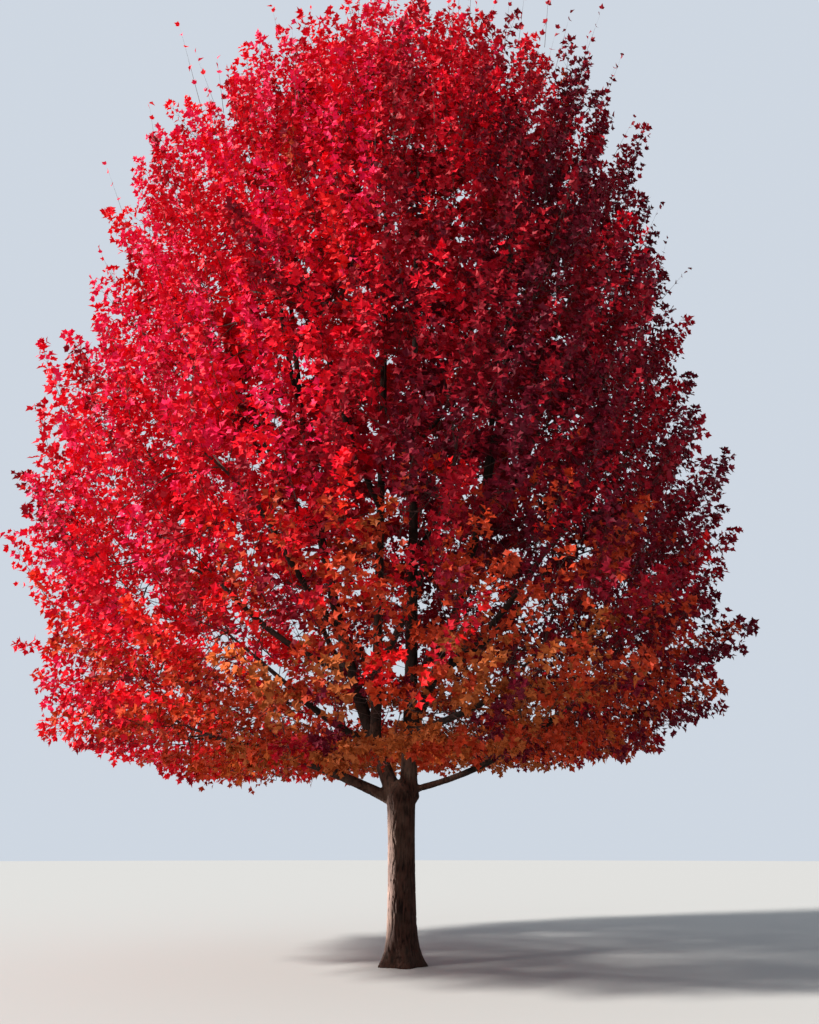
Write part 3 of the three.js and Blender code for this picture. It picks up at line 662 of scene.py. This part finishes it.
class Sock:
    """A node's output that Python expressions can work on."""

    def __init__(self, shader, socket):
        self.shader, self.socket = shader, socket

    def maths(self, operation, first, second):
        """A Math node's output, from two sockets or numbers."""
        return self.shader.add("ShaderNodeMath", {"operation": operation}, {0: first, 1: second})

    def __add__(self, other):
        return self.maths("ADD", self, other)

    def __mul__(self, other):
        return self.maths("MULTIPLY", self, other)

    __radd__, __rmul__ = __add__, __mul__

    def __sub__(self, other):
        return self.maths("SUBTRACT", self, other)

    def __rsub__(self, other):
        return self.maths("SUBTRACT", other, self)

    def clamp(self):
        """The value held between nought and one."""
        return self.maths("MAXIMUM", self.maths("MINIMUM", self, 1.0), 0.0)


class Shader:
    """The nodes of a material or of the surroundings, with one method that adds any node."""

    def __init__(self, owner, surface="Principled BSDF"):
        self.owner = owner
        owner.use_nodes = True
        self.tree = owner.node_tree
        self.surface = self.tree.nodes[surface]

    def add(self, kind, settings, sockets, output=0):
        """A new node of a type, with its settings made first, then its sockets fed."""
        node = self.tree.nodes.new(kind)
        for name, value in settings.items():
            setattr(node, name, value)
        for key, value in sockets.items():
            self.feed(node.inputs[key], value)
        return Sock(self, node.outputs[output])

    def feed(self, socket, value):
        """Links a socket to another node's output, or sets its colour, vector or number."""
        if isinstance(value, Sock):
            self.tree.links.new(value.socket, socket)
        elif socket.type == "RGBA":
            socket.default_value = (*value, 1)
        else:
            socket.default_value = value

    def noise(self, spot, look):
        """Noise at a spot, with its scale, detail and roughness."""
        return self.add("ShaderNodeTexNoise", {}, {
            "Vector": spot, "Scale": look.scale, "Detail": look.detail, "Roughness": look.roughness,
        })

    def mix(self, factor, under, over):
        """One colour laid over another by a factor."""
        at = COLOUR_MIX
        sockets = {at.factor: factor, at.under: under, at.over: over}
        return self.add("ShaderNodeMix", {"data_type": "RGBA"}, sockets, at.result)

    def finish(self, **values):
        """Feeds the surface's own sockets, and gives what the nodes belong to."""
        for name, value in values.items():
            self.feed(self.surface.inputs[name.replace("_", " ")], value)
        return self.owner


def bark_material(name, ridge, furrow, lichen, scale):
    """Furrowed bark: dark furrows, paler plates, faint lichen and a fine rough grain."""
    shader = Shader(bpy.data.materials.new(name))
    spot = shader.add("ShaderNodeTexCoord", {}, {}, "Object")
    stretch = (scale, scale, scale * STREAKS.length)
    stretched = shader.add("ShaderNodeMapping", {}, {"Vector": spot, "Scale": stretch})
    streaks = shader.noise(stretched, STREAKS)
    patches = shader.noise(spot, PATCHES)
    grain = shader.noise(spot, GRAIN)
    relief = shader.add("ShaderNodeAttribute", {"attribute_name": "relief"}, {}, "Fac")
    height = (relief * BARK.relief + streaks * BARK.streaks - BARK.start).clamp()
    pale = (patches * PATCHES.gain - PATCHES.start).clamp() * PATCHES.share
    dark = (grain * GRAIN.gain - GRAIN.start).clamp() * GRAIN.share
    colour = shader.mix(dark, shader.mix(pale, shader.mix(height, furrow, ridge), lichen), furrow)
    bump = shader.add("ShaderNodeBump", {}, {
        "Height": streaks + grain * GRAIN.share, "Strength": BARK.bump, "Distance": BARK.bump_depth,
    })
    return shader.finish(
        Base_Color=colour, Roughness=1.0 - height * BARK.polish, Normal=bump,
        Specular_IOR_Level=BARK.gloss,
    )


def plain_material(name, colour, roughness, gloss=PLAIN.gloss):
    """One plain colour, as a leaf tint or a thin twig has."""
    shader = Shader(bpy.data.materials.new(name))
    return shader.finish(Base_Color=colour, Roughness=roughness, Specular_IOR_Level=gloss)


def bark_relief(points, plate_width, plate_length):
    """Height of the bark from 0 in a furrow to 1 on a plate, at points in metres."""
    heights = np.empty(len(points))
    across, down = 1 / plate_width, 1 / plate_length
    broad, tall = across * PLATE.crack_width, down * PLATE.crack_rise
    for i, (x, y, z) in enumerate(points):
        warp = PLATE.warp * noise.noise(Vector((x, y, z)) * PLATE.warp_scale)
        spot = Vector((x * across + warp, y * across - warp, z * down))
        plate = min(1.0, abs(noise.noise(spot)) / PLATE.furrow)
        break_at = Vector((x * broad, y * broad, z * tall)) + PLATE.crack_place
        crack = min(1.0, abs(noise.noise(break_at)) / PLATE.crack)
        fine = noise.noise(spot * PLATE.fine_scale)
        ridge = plate * (1 - PLATE.crack_depth + PLATE.crack_depth * crack)
        heights[i] = (1 - PLATE.fine_share) * ridge + PLATE.fine_share * (0.5 + fine)
    return heights


def trunk_radius(z, turn):
    """The trunk's radius as in the source: root lobes, taper and the swelling under the fork."""
    share = z / TRUNK.head
    taper = TRUNK.foot_radius + (TRUNK.head_radius - TRUNK.foot_radius) * share**TRUNK.taper_power
    flare = TRUNK.flare * np.exp(-z / TRUNK.flare_height)
    lobes = 1 + TRUNK.lobe_depth * np.cos(TRUNK.root_lobes * turn + TRUNK.lobe_turn)
    return taper + flare * lobes + TRUNK.fork_swell * share**TRUNK.swell_power


def closed_tube(rings):
    """Vertices and quads of a tube whose two ends close on their middles."""
    steps, sides = rings.shape[:2]
    ends = [np.repeat(rings[i].mean(axis=0)[None], sides, axis=0) for i in (0, -1)]
    rings = np.concatenate([ends[0][None], rings, ends[1][None]])
    faces = ring_corners(sides)[None] + sides * np.arange(steps + 1)[:, None, None]
    return rings.reshape(-1, 3), faces.reshape(-1, 4)


def fused_share(limb, height):
    """How much of a limb is part of the trunk's mesh, as a share of its length."""
    if limb.start[2] > height - FUSED.rise:
        return 0.0
    return min(limb.share_at_height(height), FUSED.reach / limb.length())


def limb_rings(limb, first, last, spacing, sides):
    """Rings along a stretch of a limb, with a collar of swelling where it leaves its parent."""
    steps = max(FEWEST_RINGS, int(limb.length() * (last - first) / spacing))
    t = np.linspace(first, last, steps + 1)
    way = limb.tangent(t)
    side = np.cross(limb.across, way)
    run = (t * limb.length())[:, None]
    swell = 1 + COLLAR.swell * np.exp(-run / (COLLAR.run * limb.foot_radius))
    radius = (limb.radius(t)[:, None] * swell)[..., None]
    turn = turns(sides)[None, :, None]
    ring = side[:, None] * np.cos(turn) + limb.across[None, None] * np.sin(turn)
    return limb.point(t)[:, None] + radius * ring


def vertex_arrays(mesh):
    """A mesh's vertex places and normals."""
    places = np.empty(len(mesh.vertices) * 3, np.float32)
    normals = np.empty(len(mesh.vertices) * 3, np.float32)
    mesh.vertices.foreach_get("co", places)
    mesh.vertices.foreach_get("normal", normals)
    return places.reshape(-1, 3), normals.reshape(-1, 3)


def carve_bark(mesh, depth, plate_width, plate_length):
    """Moves a mesh's vertices out and in by the bark's relief, and keeps it for the colours."""
    places, normals = vertex_arrays(mesh)
    relief = bark_relief(places, plate_width, plate_length)
    moved = places + normals * ((relief - BARK.level) * depth)[:, None]
    moved[:, 2] = np.maximum(moved[:, 2], 0)
    mesh.vertices.foreach_set("co", moved.astype(np.float32).ravel())
    layer = mesh.attributes.new("relief", "FLOAT", "POINT")
    layer.data.foreach_set("value", relief.astype(np.float32))
    mesh.update()


def length_property(name, description, default, least, most):
    """A length that a user may change, in metres."""
    return FloatProperty(
        name=name, description=description, default=default, min=least, max=most, unit="LENGTH",
    )


def angle_property(name, description, degrees):
    """An angle that a user may change."""
    return FloatProperty(
        name=name, description=description, default=math.radians(degrees), subtype="ANGLE",
    )


def strength_property(name, description, default):
    """A light's strength that a user may change."""
    return FloatProperty(name=name, description=description, default=default, min=0)


def colour_property(name, what, default):
    """A colour that a user may change."""
    return FloatVectorProperty(
        name=name, description=f"Colour of {what}", default=default,
        min=0, max=1, size=3, subtype="COLOR",
    )


class TreeSizes(PropertyGroup):
    """Sizes and counts that a user may change."""

    voxel: length_property("Bark voxel", "Finest step of the trunk's mesh", 0.016, 0.006, 0.05)
    bark_depth: length_property("Furrow depth", "Depth of the trunk's furrows", 0.012, 0, 0.03)
    plate_width: length_property("Plate width", "Width of the bark's plates", 0.042, 0.01, 0.2)
    plate_length: length_property("Plate length", "Length of the bark's plates", 0.34, 0.05, 2)
    fused_height: length_property(
        "Fused height", "Trunk, leaders and boughs are one mesh up to here", 3.55, 2.7, 6,
    )
    twig_radius: length_property(
        "Twig radius", "Radius of a twig that carries one plume", 0.0055, 0.001, 0.02,
    )
    plume_count: IntProperty(
        name="Plumes", description="Plumes of leaves over the whole crown",
        default=2180, min=100, max=6000,
    )
    plume_length: length_property("Plume length", "Length of a plume's axis", 1.42, 0.2, 3)
    leaf_length: length_property("Leaf length", "Length of a leaf's blade", 0.092, 0.04, 0.3)
    shoot_count: IntProperty(
        name="Shoots", description="Thin shoots that stand out of the crown's top",
        default=170, min=0, max=600,
    )
    shoot_length: length_property("Shoot length", "Length of a thin shoot", 1.25, 0.1, 2)


class LeafColours(PropertyGroup):
    """The leaves' tints."""

    __annotations__ = {
        tint.name: colour_property(
            tint.name.capitalize(), f"the {tint.name} leaves", linear(tint.colour),
        )
        for tint in TINTS
    }


class BarkColours(PropertyGroup):
    """The bark's and twigs' colours."""

    ridge: colour_property("Plates", "the bark's plates", linear((66, 39, 29)))
    furrow: colour_property("Furrows", "the bark's furrows", linear((16, 8, 6)))
    lichen: colour_property("Lichen", "the bark's pale patches", linear((104, 82, 70)))
    # Painted shade: the limbs' bark is darker than the trunk's plates, for the shade they stand in
    # inside the crown
    limb: colour_property("Limbs", "the boughs' smoother bark", linear((46, 32, 27)))
    twig: colour_property("Twigs", "the twigs", linear((62, 38, 33)))


class StageSettings(PropertyGroup):
    """Floor and light."""

    floor_radius: length_property("Floor radius", "Radius of the pale floor", 160, 20, 400)
    floor: colour_property("Floor", "the floor", (0.5, 0.5, 0.49))
    sky: colour_property("Surroundings", "the air round the tree", (0.62, 0.68, 0.76))
    fill: strength_property("Fill", "Strength of the even light", 0.62)
    key: strength_property("Key", "Strength of the light from the left", 6.1)
    key_azimuth: angle_property("Key azimuth", "Where the light stands, from +X towards +Y", 210)
    key_height: angle_property("Key height", "The light's angle above the floor", 36)
    key_softness: angle_property("Key softness", "How wide the light looks from the tree", 7)
    rim: strength_property("Rim", "Power of the low light on the trunk", 46000)
    rim_azimuth: angle_property("Rim azimuth", "Where the low light stands, from +X towards +Y", 156)
    rim_distance: length_property("Rim distance", "From the trunk to the low light", 9, 4, 40)


class TREE_OT_trunk(Operator):
    """Fuse the trunk, the fork and the feet of the lowest limbs, and carve their bark"""

    bl_idname = "tree.trunk"
    bl_label = "Trunk and fork"

    def execute(self, context):
        sizes, colours = context.scene.tree_sizes, context.scene.tree_bark
        parts = [closed_tube(self.trunk_rings())]
        tree = plan()
        for limb in tree.leaders + tree.boughs:
            last = fused_share(limb, sizes.fused_height)
            if last:
                rings = limb_rings(limb, 0, last, FUSED.spacing, FUSED.sides)
                heel = limb.start + FUSED.heel_share * (rings[0] - limb.start)
                heel = heel - FUSED.heel * limb.foot_radius * limb.tangent(0)
                parts.append(closed_tube(np.concatenate([heel[None], rings])))
        obj = mesh_object("trunk_bark", *joined(parts), smooth=True)
        remesh = obj.modifiers.new("fuse", "REMESH")
        remesh.mode, remesh.voxel_size = "VOXEL", sizes.voxel
        soften = obj.modifiers.new("soften", "SMOOTH")
        soften.factor, soften.iterations = FUSED.smoothing, FUSED.rounds
        fused = bpy.data.meshes.new_from_object(obj.evaluated_get(context.evaluated_depsgraph_get()))
        obj.modifiers.clear()
        obj.data = fused
        carve_bark(fused, sizes.bark_depth, sizes.plate_width, sizes.plate_length)
        fused.polygons.foreach_set("use_smooth", np.full(len(fused.polygons), True))
        material = bark_material(
            "furrowed_bark", colours.ridge, colours.furrow, colours.lichen, STREAKS.trunk,
        )
        place(obj, material, "bark", "trunk")
        return {"FINISHED"}

    def trunk_rings(self):
        """Rings up the trunk, closer together at its foot, to the dome of its head."""
        foot = np.linspace(0, TRUNK.foot_top, TRUNK.foot_rings)
        stem = np.linspace(TRUNK.foot_top + TRUNK.ring_step, TRUNK.head, TRUNK.rings)
        z = np.concatenate([foot, stem])
        turn = turns(TRUNK.sides)
        rounding = 1 - np.clip((z - TRUNK.dome) / (TRUNK.head - TRUNK.dome), 0, 1) ** 2
        radius = trunk_radius(z[:, None], turn[None, :]) * np.sqrt(rounding)[:, None]
        rings = polar(turn[None, :], radius, z[:, None])
        rings[..., 0] += TRUNK.lean * z[:, None] / TRUNK.head
        return rings


class TREE_OT_limbs(Operator):
    """Grow the leaders and boughs from the fork to their masses, with finer bark painted darker than
    the trunk's as shade
    """

    bl_idname = "tree.limbs"
    bl_label = "Leaders and boughs"

    def execute(self, context):
        sizes, colours = context.scene.tree_sizes, context.scene.tree_bark
        tree = plan()
        # Painted shade: the limbs' plates take the darker limb colour
        material = bark_material(
            "limb_bark", colours.limb, colours.furrow, colours.ridge, STREAKS.limb,
        )
        for limb in tree.leaders + tree.boughs:
            kind = "leader" if limb in tree.leaders else "bough"
            overlap = FUSED.overlap / limb.length()
            first = max(0.0, fused_share(limb, sizes.fused_height) - overlap)
            rings = limb_rings(limb, first, 1.0, RINGS[kind].spacing, RINGS[kind].sides)
            obj = mesh_object(f"{limb.name}_bark", *closed_tube(rings), smooth=True)
            depth = LIMB_PLATE.depth * limb.foot_radius
            carve_bark(obj.data, depth, LIMB_PLATE.width, LIMB_PLATE.length)
            place(obj, material, "bark" if kind == "leader" else "bough_bark", limb.name)
        return {"FINISHED"}


def current_plumes(sizes):
    """The crown's plumes at the panel's sizes."""
    return foliage(sizes.plume_count, sizes.plume_length)


def crown_shoots(sizes):
    """Feet, directions and lengths of the thin shoots that stand out of the crown's upper face."""
    random = np.random.default_rng(SHOOT_SEED)
    count = sizes.shoot_count
    height = CROWN.top - CROWN.bottom
    z = CROWN.bottom + height * (SHOOT.lowest + SHOOT.span * random.random(count) ** SHOOT.crowding)
    azimuth = np.arange(count) * GOLDEN_ANGLE * SHOOT.turn
    depth = random.uniform(*SHOOT.depths, count)
    feet = polar(azimuth, crown_radius(z, azimuth) * depth, z - SHOOT.sink)
    outward = polar(azimuth, 1.0, 0.0)
    rise = ((z - CROWN.bottom) / height)[:, None]
    stray = random.normal(0, SHOOT.stray, (count, 3))
    ways = unit(outward * (1.0 - SHOOT.lean * rise) + np.array([0, 0, SHOOT.upward]) + stray)
    lengths = sizes.shoot_length * random.uniform(*SHOOT.lengths, count)[:, None]
    over = np.clip((feet + ways * lengths)[:, 2:] - (CROWN.top + SHOOT.over_top), 0, None)
    return feet, ways, lengths - over


class TREE_OT_twigs(Operator):
    """Grow each mass's stem, the twigs to its plumes, and the plumes' own axes and twiglets"""

    bl_idname = "tree.twigs"
    bl_label = "Twigs"

    def execute(self, context):
        sizes, colours = context.scene.tree_sizes, context.scene.tree_bark
        plumes = current_plumes(sizes)
        material = plain_material("twig_bark", colours.twig, PLAIN.twig)
        names = [mass.name for mass in plan().masses]
        axis, _ = plume_axis(plumes, PLUME.axis_shares)
        paths = np.concatenate([plumes.paths, axis], axis=1)
        foot = sizes.twig_radius * plumes.loads[:, None] ** TWIG.thickening
        radii = foot + (sizes.twig_radius - foot) * np.linspace(0, 1, TWIG.stations)
        thin = np.repeat(sizes.twig_radius * PLUME.axis_taper, len(foot), axis=0)
        radii = np.concatenate([radii, thin], axis=1)
        t = np.linspace(0, 1, STEM.stations)
        for tier in [tier.name for tier in TIERS] + ["crest"]:
            mine = [i for i, name in enumerate(names) if f"mass_{tier}" in name]
            chosen = np.isin(plumes.owner, mine)
            stems = [plumes.stems[i] for i in mine]
            stem_paths = np.array([stem.point(t) for stem in stems])
            stem_radii = np.array([stem.radius(t) for stem in stems])
            across = np.array([stem.across for stem in stems])
            parts = [
                tubes(stem_paths, stem_radii, across, STEM.sides),
                tubes(paths[chosen], radii[chosen], plumes.face[chosen], TWIG.sides),
            ]
            obj = mesh_object(f"twigs_{tier}", *joined(parts))
            place(obj, material, "bough_bark", *[names[i] for i in mine])
        parts = [self.outer_twiglets(sizes, plumes), self.shoots(sizes)]
        obj = mesh_object("twiglets", *joined(parts))
        place(obj, material, "bough_bark", *names)
        return {"FINISHED"}

    def outer_twiglets(self, sizes, plumes):
        """The wood of the outer plumes' twiglets."""
        feet, ways, lengths = twiglets(sizes.plume_count, sizes.plume_length)
        outer = plumes.depth > TWIGLET_DEPTH
        across = np.broadcast_to(plumes.face[:, None], feet.shape)
        feet, tips, across = (a[outer].reshape(-1, 3) for a in (feet, feet + ways * lengths, across))
        return spikes(feet, tips, TWIGLET.radius * sizes.twig_radius, across)

    def shoots(self, sizes):
        """The wood of the thin shoots."""
        feet, ways, lengths = crown_shoots(sizes)
        across = np.tile(SHOOT.across, (len(feet), 1))
        return spikes(feet, feet + ways * lengths, sizes.twig_radius, across)


def leaf_template():
    """Of every leaf on a plume's twiglets: the twiglet, the share along it, its pair and its hand."""
    rows = []
    for node, pairs in enumerate(PLUME.pairs):
        for twiglet in (2 * node, 2 * node + 1):
            for pair in range(pairs):
                rows += [(twiglet, (pair + 1) / pairs, pair % 2, hand) for hand in (-1, 1)]
    return np.array(rows).T


def leaf_places(plumes, feet, ways, lengths):
    """Foot and direction of every leaf, and the plume and twiglet that each belongs to."""
    twiglet, share, turned, hand = leaf_template()
    twiglet = twiglet.astype(int)
    share, turned, hand = (a[None, :, None] for a in (share, turned, hand))
    way = ways[:, twiglet]
    spots = feet[:, twiglet] + way * lengths[:, twiglet] * share
    level = unit(np.cross(way, plumes.face[:, None]))
    upright = np.cross(way, level)
    spread = level * (1 - turned) + upright * turned
    lead = way * (LEAF.lead + (1 - LEAF.lead) * share) + spread * hand * LEAF.spread
    count = len(feet)
    ends, end_ways = plume_axis(plumes, np.array([1.0]))
    fan = np.linspace(-PLUME.tip_fan, PLUME.tip_fan, PLUME.tip_leaves)[None, :, None]
    end_lead = end_ways + plumes.side[:, None] * fan
    spots = np.concatenate([spots, np.repeat(ends, PLUME.tip_leaves, axis=1)], axis=1)
    lead = np.concatenate([lead, end_lead], axis=1)
    tip_group = feet.shape[1]
    group = np.concatenate([twiglet, np.full(PLUME.tip_leaves, tip_group)])
    plume_index = np.repeat(np.arange(count), spots.shape[1])
    group = plume_index * (tip_group + 1) + np.tile(group, count)
    return spots.reshape(-1, 3), lead.reshape(-1, 3), plume_index, group


def leaf_corners(spots, lead, size, random):
    """Corners of leaves that leave their twigs and turn their faces to the light."""
    count = len(spots)
    outward = polar(np.arctan2(spots[:, 1], spots[:, 0]), 1.0, 0.0)
    direction = unit(lead + random.normal(0, LEAF.stray, (count, 3)) - np.array([0, 0, LEAF.hang]))
    light = outward * LEAF.outward + np.array([0, 0, LEAF.upward])
    light = light + random.normal(0, LEAF.tilt, (count, 3))
    normal = unit(light - direction * dots(light, direction))
    side = np.cross(direction, normal)
    fold = random.uniform(*LEAF.folds, (count, 1))
    droop = random.uniform(*LEAF.droops, (count, 1))
    across, forward, lift = LEAF_POINTS.T
    lift = lift[None] * fold - droop * forward[None] ** 2
    corners = side[:, None] * across[None, :, None] + direction[:, None] * forward[None, :, None]
    corners = corners + normal[:, None] * lift[..., None]
    return spots[:, None] + corners * size[:, None, None]


def leaf_blades(corners, faces):
    """Vertices and faces of many leaves, with only the corners that the faces use."""
    used, numbers = np.unique(faces, return_inverse=True)
    numbers = numbers.reshape(faces.shape)
    all_faces = numbers[None] + len(used) * np.arange(len(corners))[:, None, None]
    return corners[:, used].reshape(-1, 3), all_faces.reshape(-1, 3)


def choose_tints(spots, depth, shift, random):
    """The tint of each group of leaves, by where it grows with painted light and shade, by its mass
    and plume, and by chance.
    """
    x, _, z = spots.T
    low = np.clip(1 - (z - CROWN.bottom) / RUST.height, 0, 1)
    # Painted light and shade: lighter tints to the left and higher up, darker ones to the right and
    # low down
    across = (x + SHADE.tilt * (SHADE.level - z) - SHADE.edge) / SHADE.width
    shade = SHADE.middle + SHADE.swing * np.tanh(across) + SHADE.low * low
    shade = shade + shift[:, 0] + random.normal(0, SHADE.sprays, len(x))
    rust = RUST.share * low * np.exp(-(((x - RUST.middle) / RUST.width) ** 2))
    rust = rust + RUST.inside * np.clip(RUST.depth - depth, 0, 1)
    rust = rust + shift[:, 1] * (RUST.high + (1 - RUST.high) * low)
    rust = rust + random.normal(0, RUST.sprays, len(x))
    homes = np.array([(tint.shade, tint.rust) for tint in TINTS])
    gaps = (shade[:, None] - homes[None, :, 0]) ** 2 + (rust[:, None] - homes[None, :, 1]) ** 2
    return np.argmin(gaps, axis=1)


def spray_tints(plumes, spots, group, random):
    """The tint of each spray of leaves: those of one twiglet, or those at a plume's tip."""
    count = int(group.max()) + 1
    members = np.bincount(group, minlength=count)[:, None]
    centres = np.stack([np.bincount(group, spots[:, i], count) for i in range(3)], axis=1) / members
    plume = np.arange(count) // (count // len(plumes.base))
    shift = np.array([SHADE.masses, RUST.masses]) * plumes.mass_shift
    shift = shift + np.array([SHADE.plumes, RUST.plumes]) * plumes.shift
    # Painted shade: plumes deep inside the crown take darker tints
    shift[:, 0] += SHADE.inside * np.clip(SHADE.depth - plumes.depth, 0, 1)
    return choose_tints(centres, plumes.depth[plume], shift[plume], random)


class TREE_OT_leaves(Operator):
    """Hang every leaf on its twiglet, in plumes, and deal the autumn tints, with painted light and
    shade, out by spray
    """

    bl_idname = "tree.leaves"
    bl_label = "Leaves"

    def execute(self, context):
        sizes, colours = context.scene.tree_sizes, context.scene.tree_leaves
        random = np.random.default_rng(LEAF_SEED)
        plumes = current_plumes(sizes)
        rows = twiglets(sizes.plume_count, sizes.plume_length)
        spots, lead, plume_index, group = leaf_places(plumes, *rows)
        depth = plumes.depth[plume_index]
        whole = depth > WHOLE_LEAF_DEPTH
        larger = np.clip(SHADE_LEAF.growth * (SHADE_LEAF.depth - depth), 0, SHADE_LEAF.most)
        larger *= np.clip((spots[:, 2] - SHADE_LEAF.low) / SHADE_LEAF.rise, 0, 1)
        size = sizes.leaf_length * random.uniform(*LEAF.sizes, len(spots)) * (1 + larger)
        corners = leaf_corners(spots, lead, size, random)
        bare = (depth < BARE.depth) & (spots[:, 2] < BARE.height)
        tint_of = np.where(bare, -1, spray_tints(plumes, spots, group, random)[group])
        shoot_corners, shoot_tints = self.shoot_leaves(sizes, random)
        masses = [mass.name for mass in plan().masses]
        for i, tint in enumerate(TINTS):
            outer = np.concatenate([corners[(tint_of == i) & whole], shoot_corners[shoot_tints == i]])
            inner = corners[(tint_of == i) & ~whole]
            parts = [leaf_blades(outer, LEAF_FACES), leaf_blades(inner, INNER_FACES)]
            obj = mesh_object(f"leaves_{tint.name}", *joined(parts))
            colour = getattr(colours, tint.name)
            material = plain_material(f"leaf_{tint.name}", colour, PLAIN.leaf, PLAIN.leaf_gloss)
            place(obj, material, "foliage", *masses)
        return {"FINISHED"}

    def shoot_leaves(self, sizes, random):
        """Pairs of leaves along the thin shoots."""
        feet, ways, lengths = crown_shoots(sizes)
        shares = SHOOT.leaf_shares
        spots = (feet[:, None] + (ways * lengths)[:, None] * shares[None, :, None]).reshape(-1, 3)
        around = unit(random.normal(0, 1, (len(spots), 3)))
        lead = np.repeat(ways, len(shares), axis=0) * SHOOT.leaf_lead + around * SHOOT.leaf_spread
        size = sizes.leaf_length * random.uniform(*SHOOT.leaf_sizes, len(spots))
        corners = leaf_corners(spots, lead, size, random)
        tints = choose_tints(spots, np.ones(len(spots)), np.zeros((len(spots), 2)), random)
        return corners, tints


class TREE_OT_stage(Operator):
    """Lay the pale floor, set the soft light and the camera at the photograph's angle"""

    bl_idname = "tree.stage"
    bl_label = "Floor, light and camera"

    def execute(self, context):
        stage = context.scene.tree_stage
        rim = polar(turns(FLOOR_SIDES), stage.floor_radius, 0.0)
        vertices = np.concatenate([np.zeros((1, 3)), rim])
        k = np.arange(FLOOR_SIDES)
        faces = np.stack([np.zeros(FLOOR_SIDES, int), k + 1, (k + 1) % FLOOR_SIDES + 1], axis=-1)
        floor = mesh_object("floor", vertices, faces)
        floor.data.materials.append(plain_material("pale_floor", stage.floor, PLAIN.floor))
        self.set_surroundings(context, stage)
        self.add_key(context, stage)
        self.add_rim(context, stage)
        self.add_camera(context)
        return {"FINISHED"}

    def set_surroundings(self, context, stage):
        """Even light from all round, seen as a pale backdrop."""
        shader = Shader(bpy.data.worlds.new("surroundings"), "Background")
        seen = shader.add("ShaderNodeLightPath", {}, {}, "Is Camera Ray")
        strength = stage.fill + seen * (1.0 - stage.fill)
        context.scene.world = shader.finish(Color=stage.sky, Strength=strength)

    def add_key(self, context, stage):
        """A wide soft light from the left, as the tree is lit in the photograph."""
        level = math.cos(stage.key_height)
        across, away = math.cos(stage.key_azimuth), math.sin(stage.key_azimuth)
        towards = Vector((level * across, level * away, math.sin(stage.key_height)))
        light = self.add_light(context, "key", "SUN", stage.key, towards)
        light.data.angle = stage.key_softness

    def add_rim(self, context, stage):
        """A low light that reaches the trunk's left edge under the crown."""
        level = Vector((math.cos(stage.rim_azimuth), math.sin(stage.rim_azimuth), 0.0))
        light = self.add_light(context, "rim", "SPOT", stage.rim, level - Vector((0, 0, RIM.rise)))
        light.location = level * stage.rim_distance + Vector((0, 0, RIM.height))
        light.data.spot_size, light.data.spot_blend = math.radians(RIM.width), RIM.blend
        light.data.shadow_soft_size = RIM.size

    def add_light(self, context, name, kind, strength, towards):
        """A light that shines from a direction."""
        data = bpy.data.lights.new(name, kind)
        data.energy, data.color = strength, LIGHT_COLOUR
        light = bpy.data.objects.new(name, data)
        light.rotation_euler = towards.to_track_quat("Z", "Y").to_euler()
        context.scene.collection.objects.link(light)
        return light

    def add_camera(self, context):
        """The camera at the photograph's place and pitch."""
        data = bpy.data.cameras.new("camera")
        data.sensor_width = SENSOR
        data.lens = SENSOR * PHOTO.focal / max(PHOTO.width, PHOTO.height)
        data.clip_end = CLIP_END
        camera = bpy.data.objects.new("camera", data)
        camera.location = (PHOTO.right, -PHOTO.distance, PHOTO.eye)
        camera.rotation_euler = (math.radians(90 + PHOTO.pitch), 0, 0)
        context.scene.collection.objects.link(camera)
        context.scene.camera = camera
        context.scene.view_settings.view_transform = "Standard"


class TREE_PT_panel(Panel):
    """Lists the tree's pieces, sizes and colours"""

    bl_label = "Red maple"
    bl_idname = "TREE_PT_panel"
    bl_space_type = "VIEW_3D"
    bl_region_type = "UI"
    bl_category = "Tree"

    def draw(self, context):
        scene = context.scene
        for group in (scene.tree_sizes, scene.tree_leaves, scene.tree_bark, scene.tree_stage):
            box = self.layout.box()
            for name in type(group).__annotations__:
                box.prop(group, name)
        for operator in PIECES:
            self.layout.operator(operator.bl_idname)


PIECES = (TREE_OT_stage, TREE_OT_trunk, TREE_OT_limbs, TREE_OT_twigs, TREE_OT_leaves)
GROUPS = {
    "tree_sizes": TreeSizes,
    "tree_leaves": LeafColours,
    "tree_bark": BarkColours,
    "tree_stage": StageSettings,
}


def register():
    """Registers the property groups, the operators and the panel."""
    for name, group in GROUPS.items():
        bpy.utils.register_class(group)
        setattr(bpy.types.Scene, name, PointerProperty(type=group))
    for cls in (*PIECES, TREE_PT_panel):
        bpy.utils.register_class(cls)


def unregister():
    """Takes everything back out."""
    for cls in (TREE_PT_panel, *reversed(PIECES)):
        bpy.utils.unregister_class(cls)
    for name, group in GROUPS.items():
        delattr(bpy.types.Scene, name)
        bpy.utils.unregister_class(group)


def main():
    """Builds the whole tree."""
    register()
    bpy.ops.tree.stage()
    bpy.ops.tree.trunk()
    bpy.ops.tree.limbs()
    bpy.ops.tree.twigs()
    bpy.ops.tree.leaves()


if __name__ == "__main__":
    main()
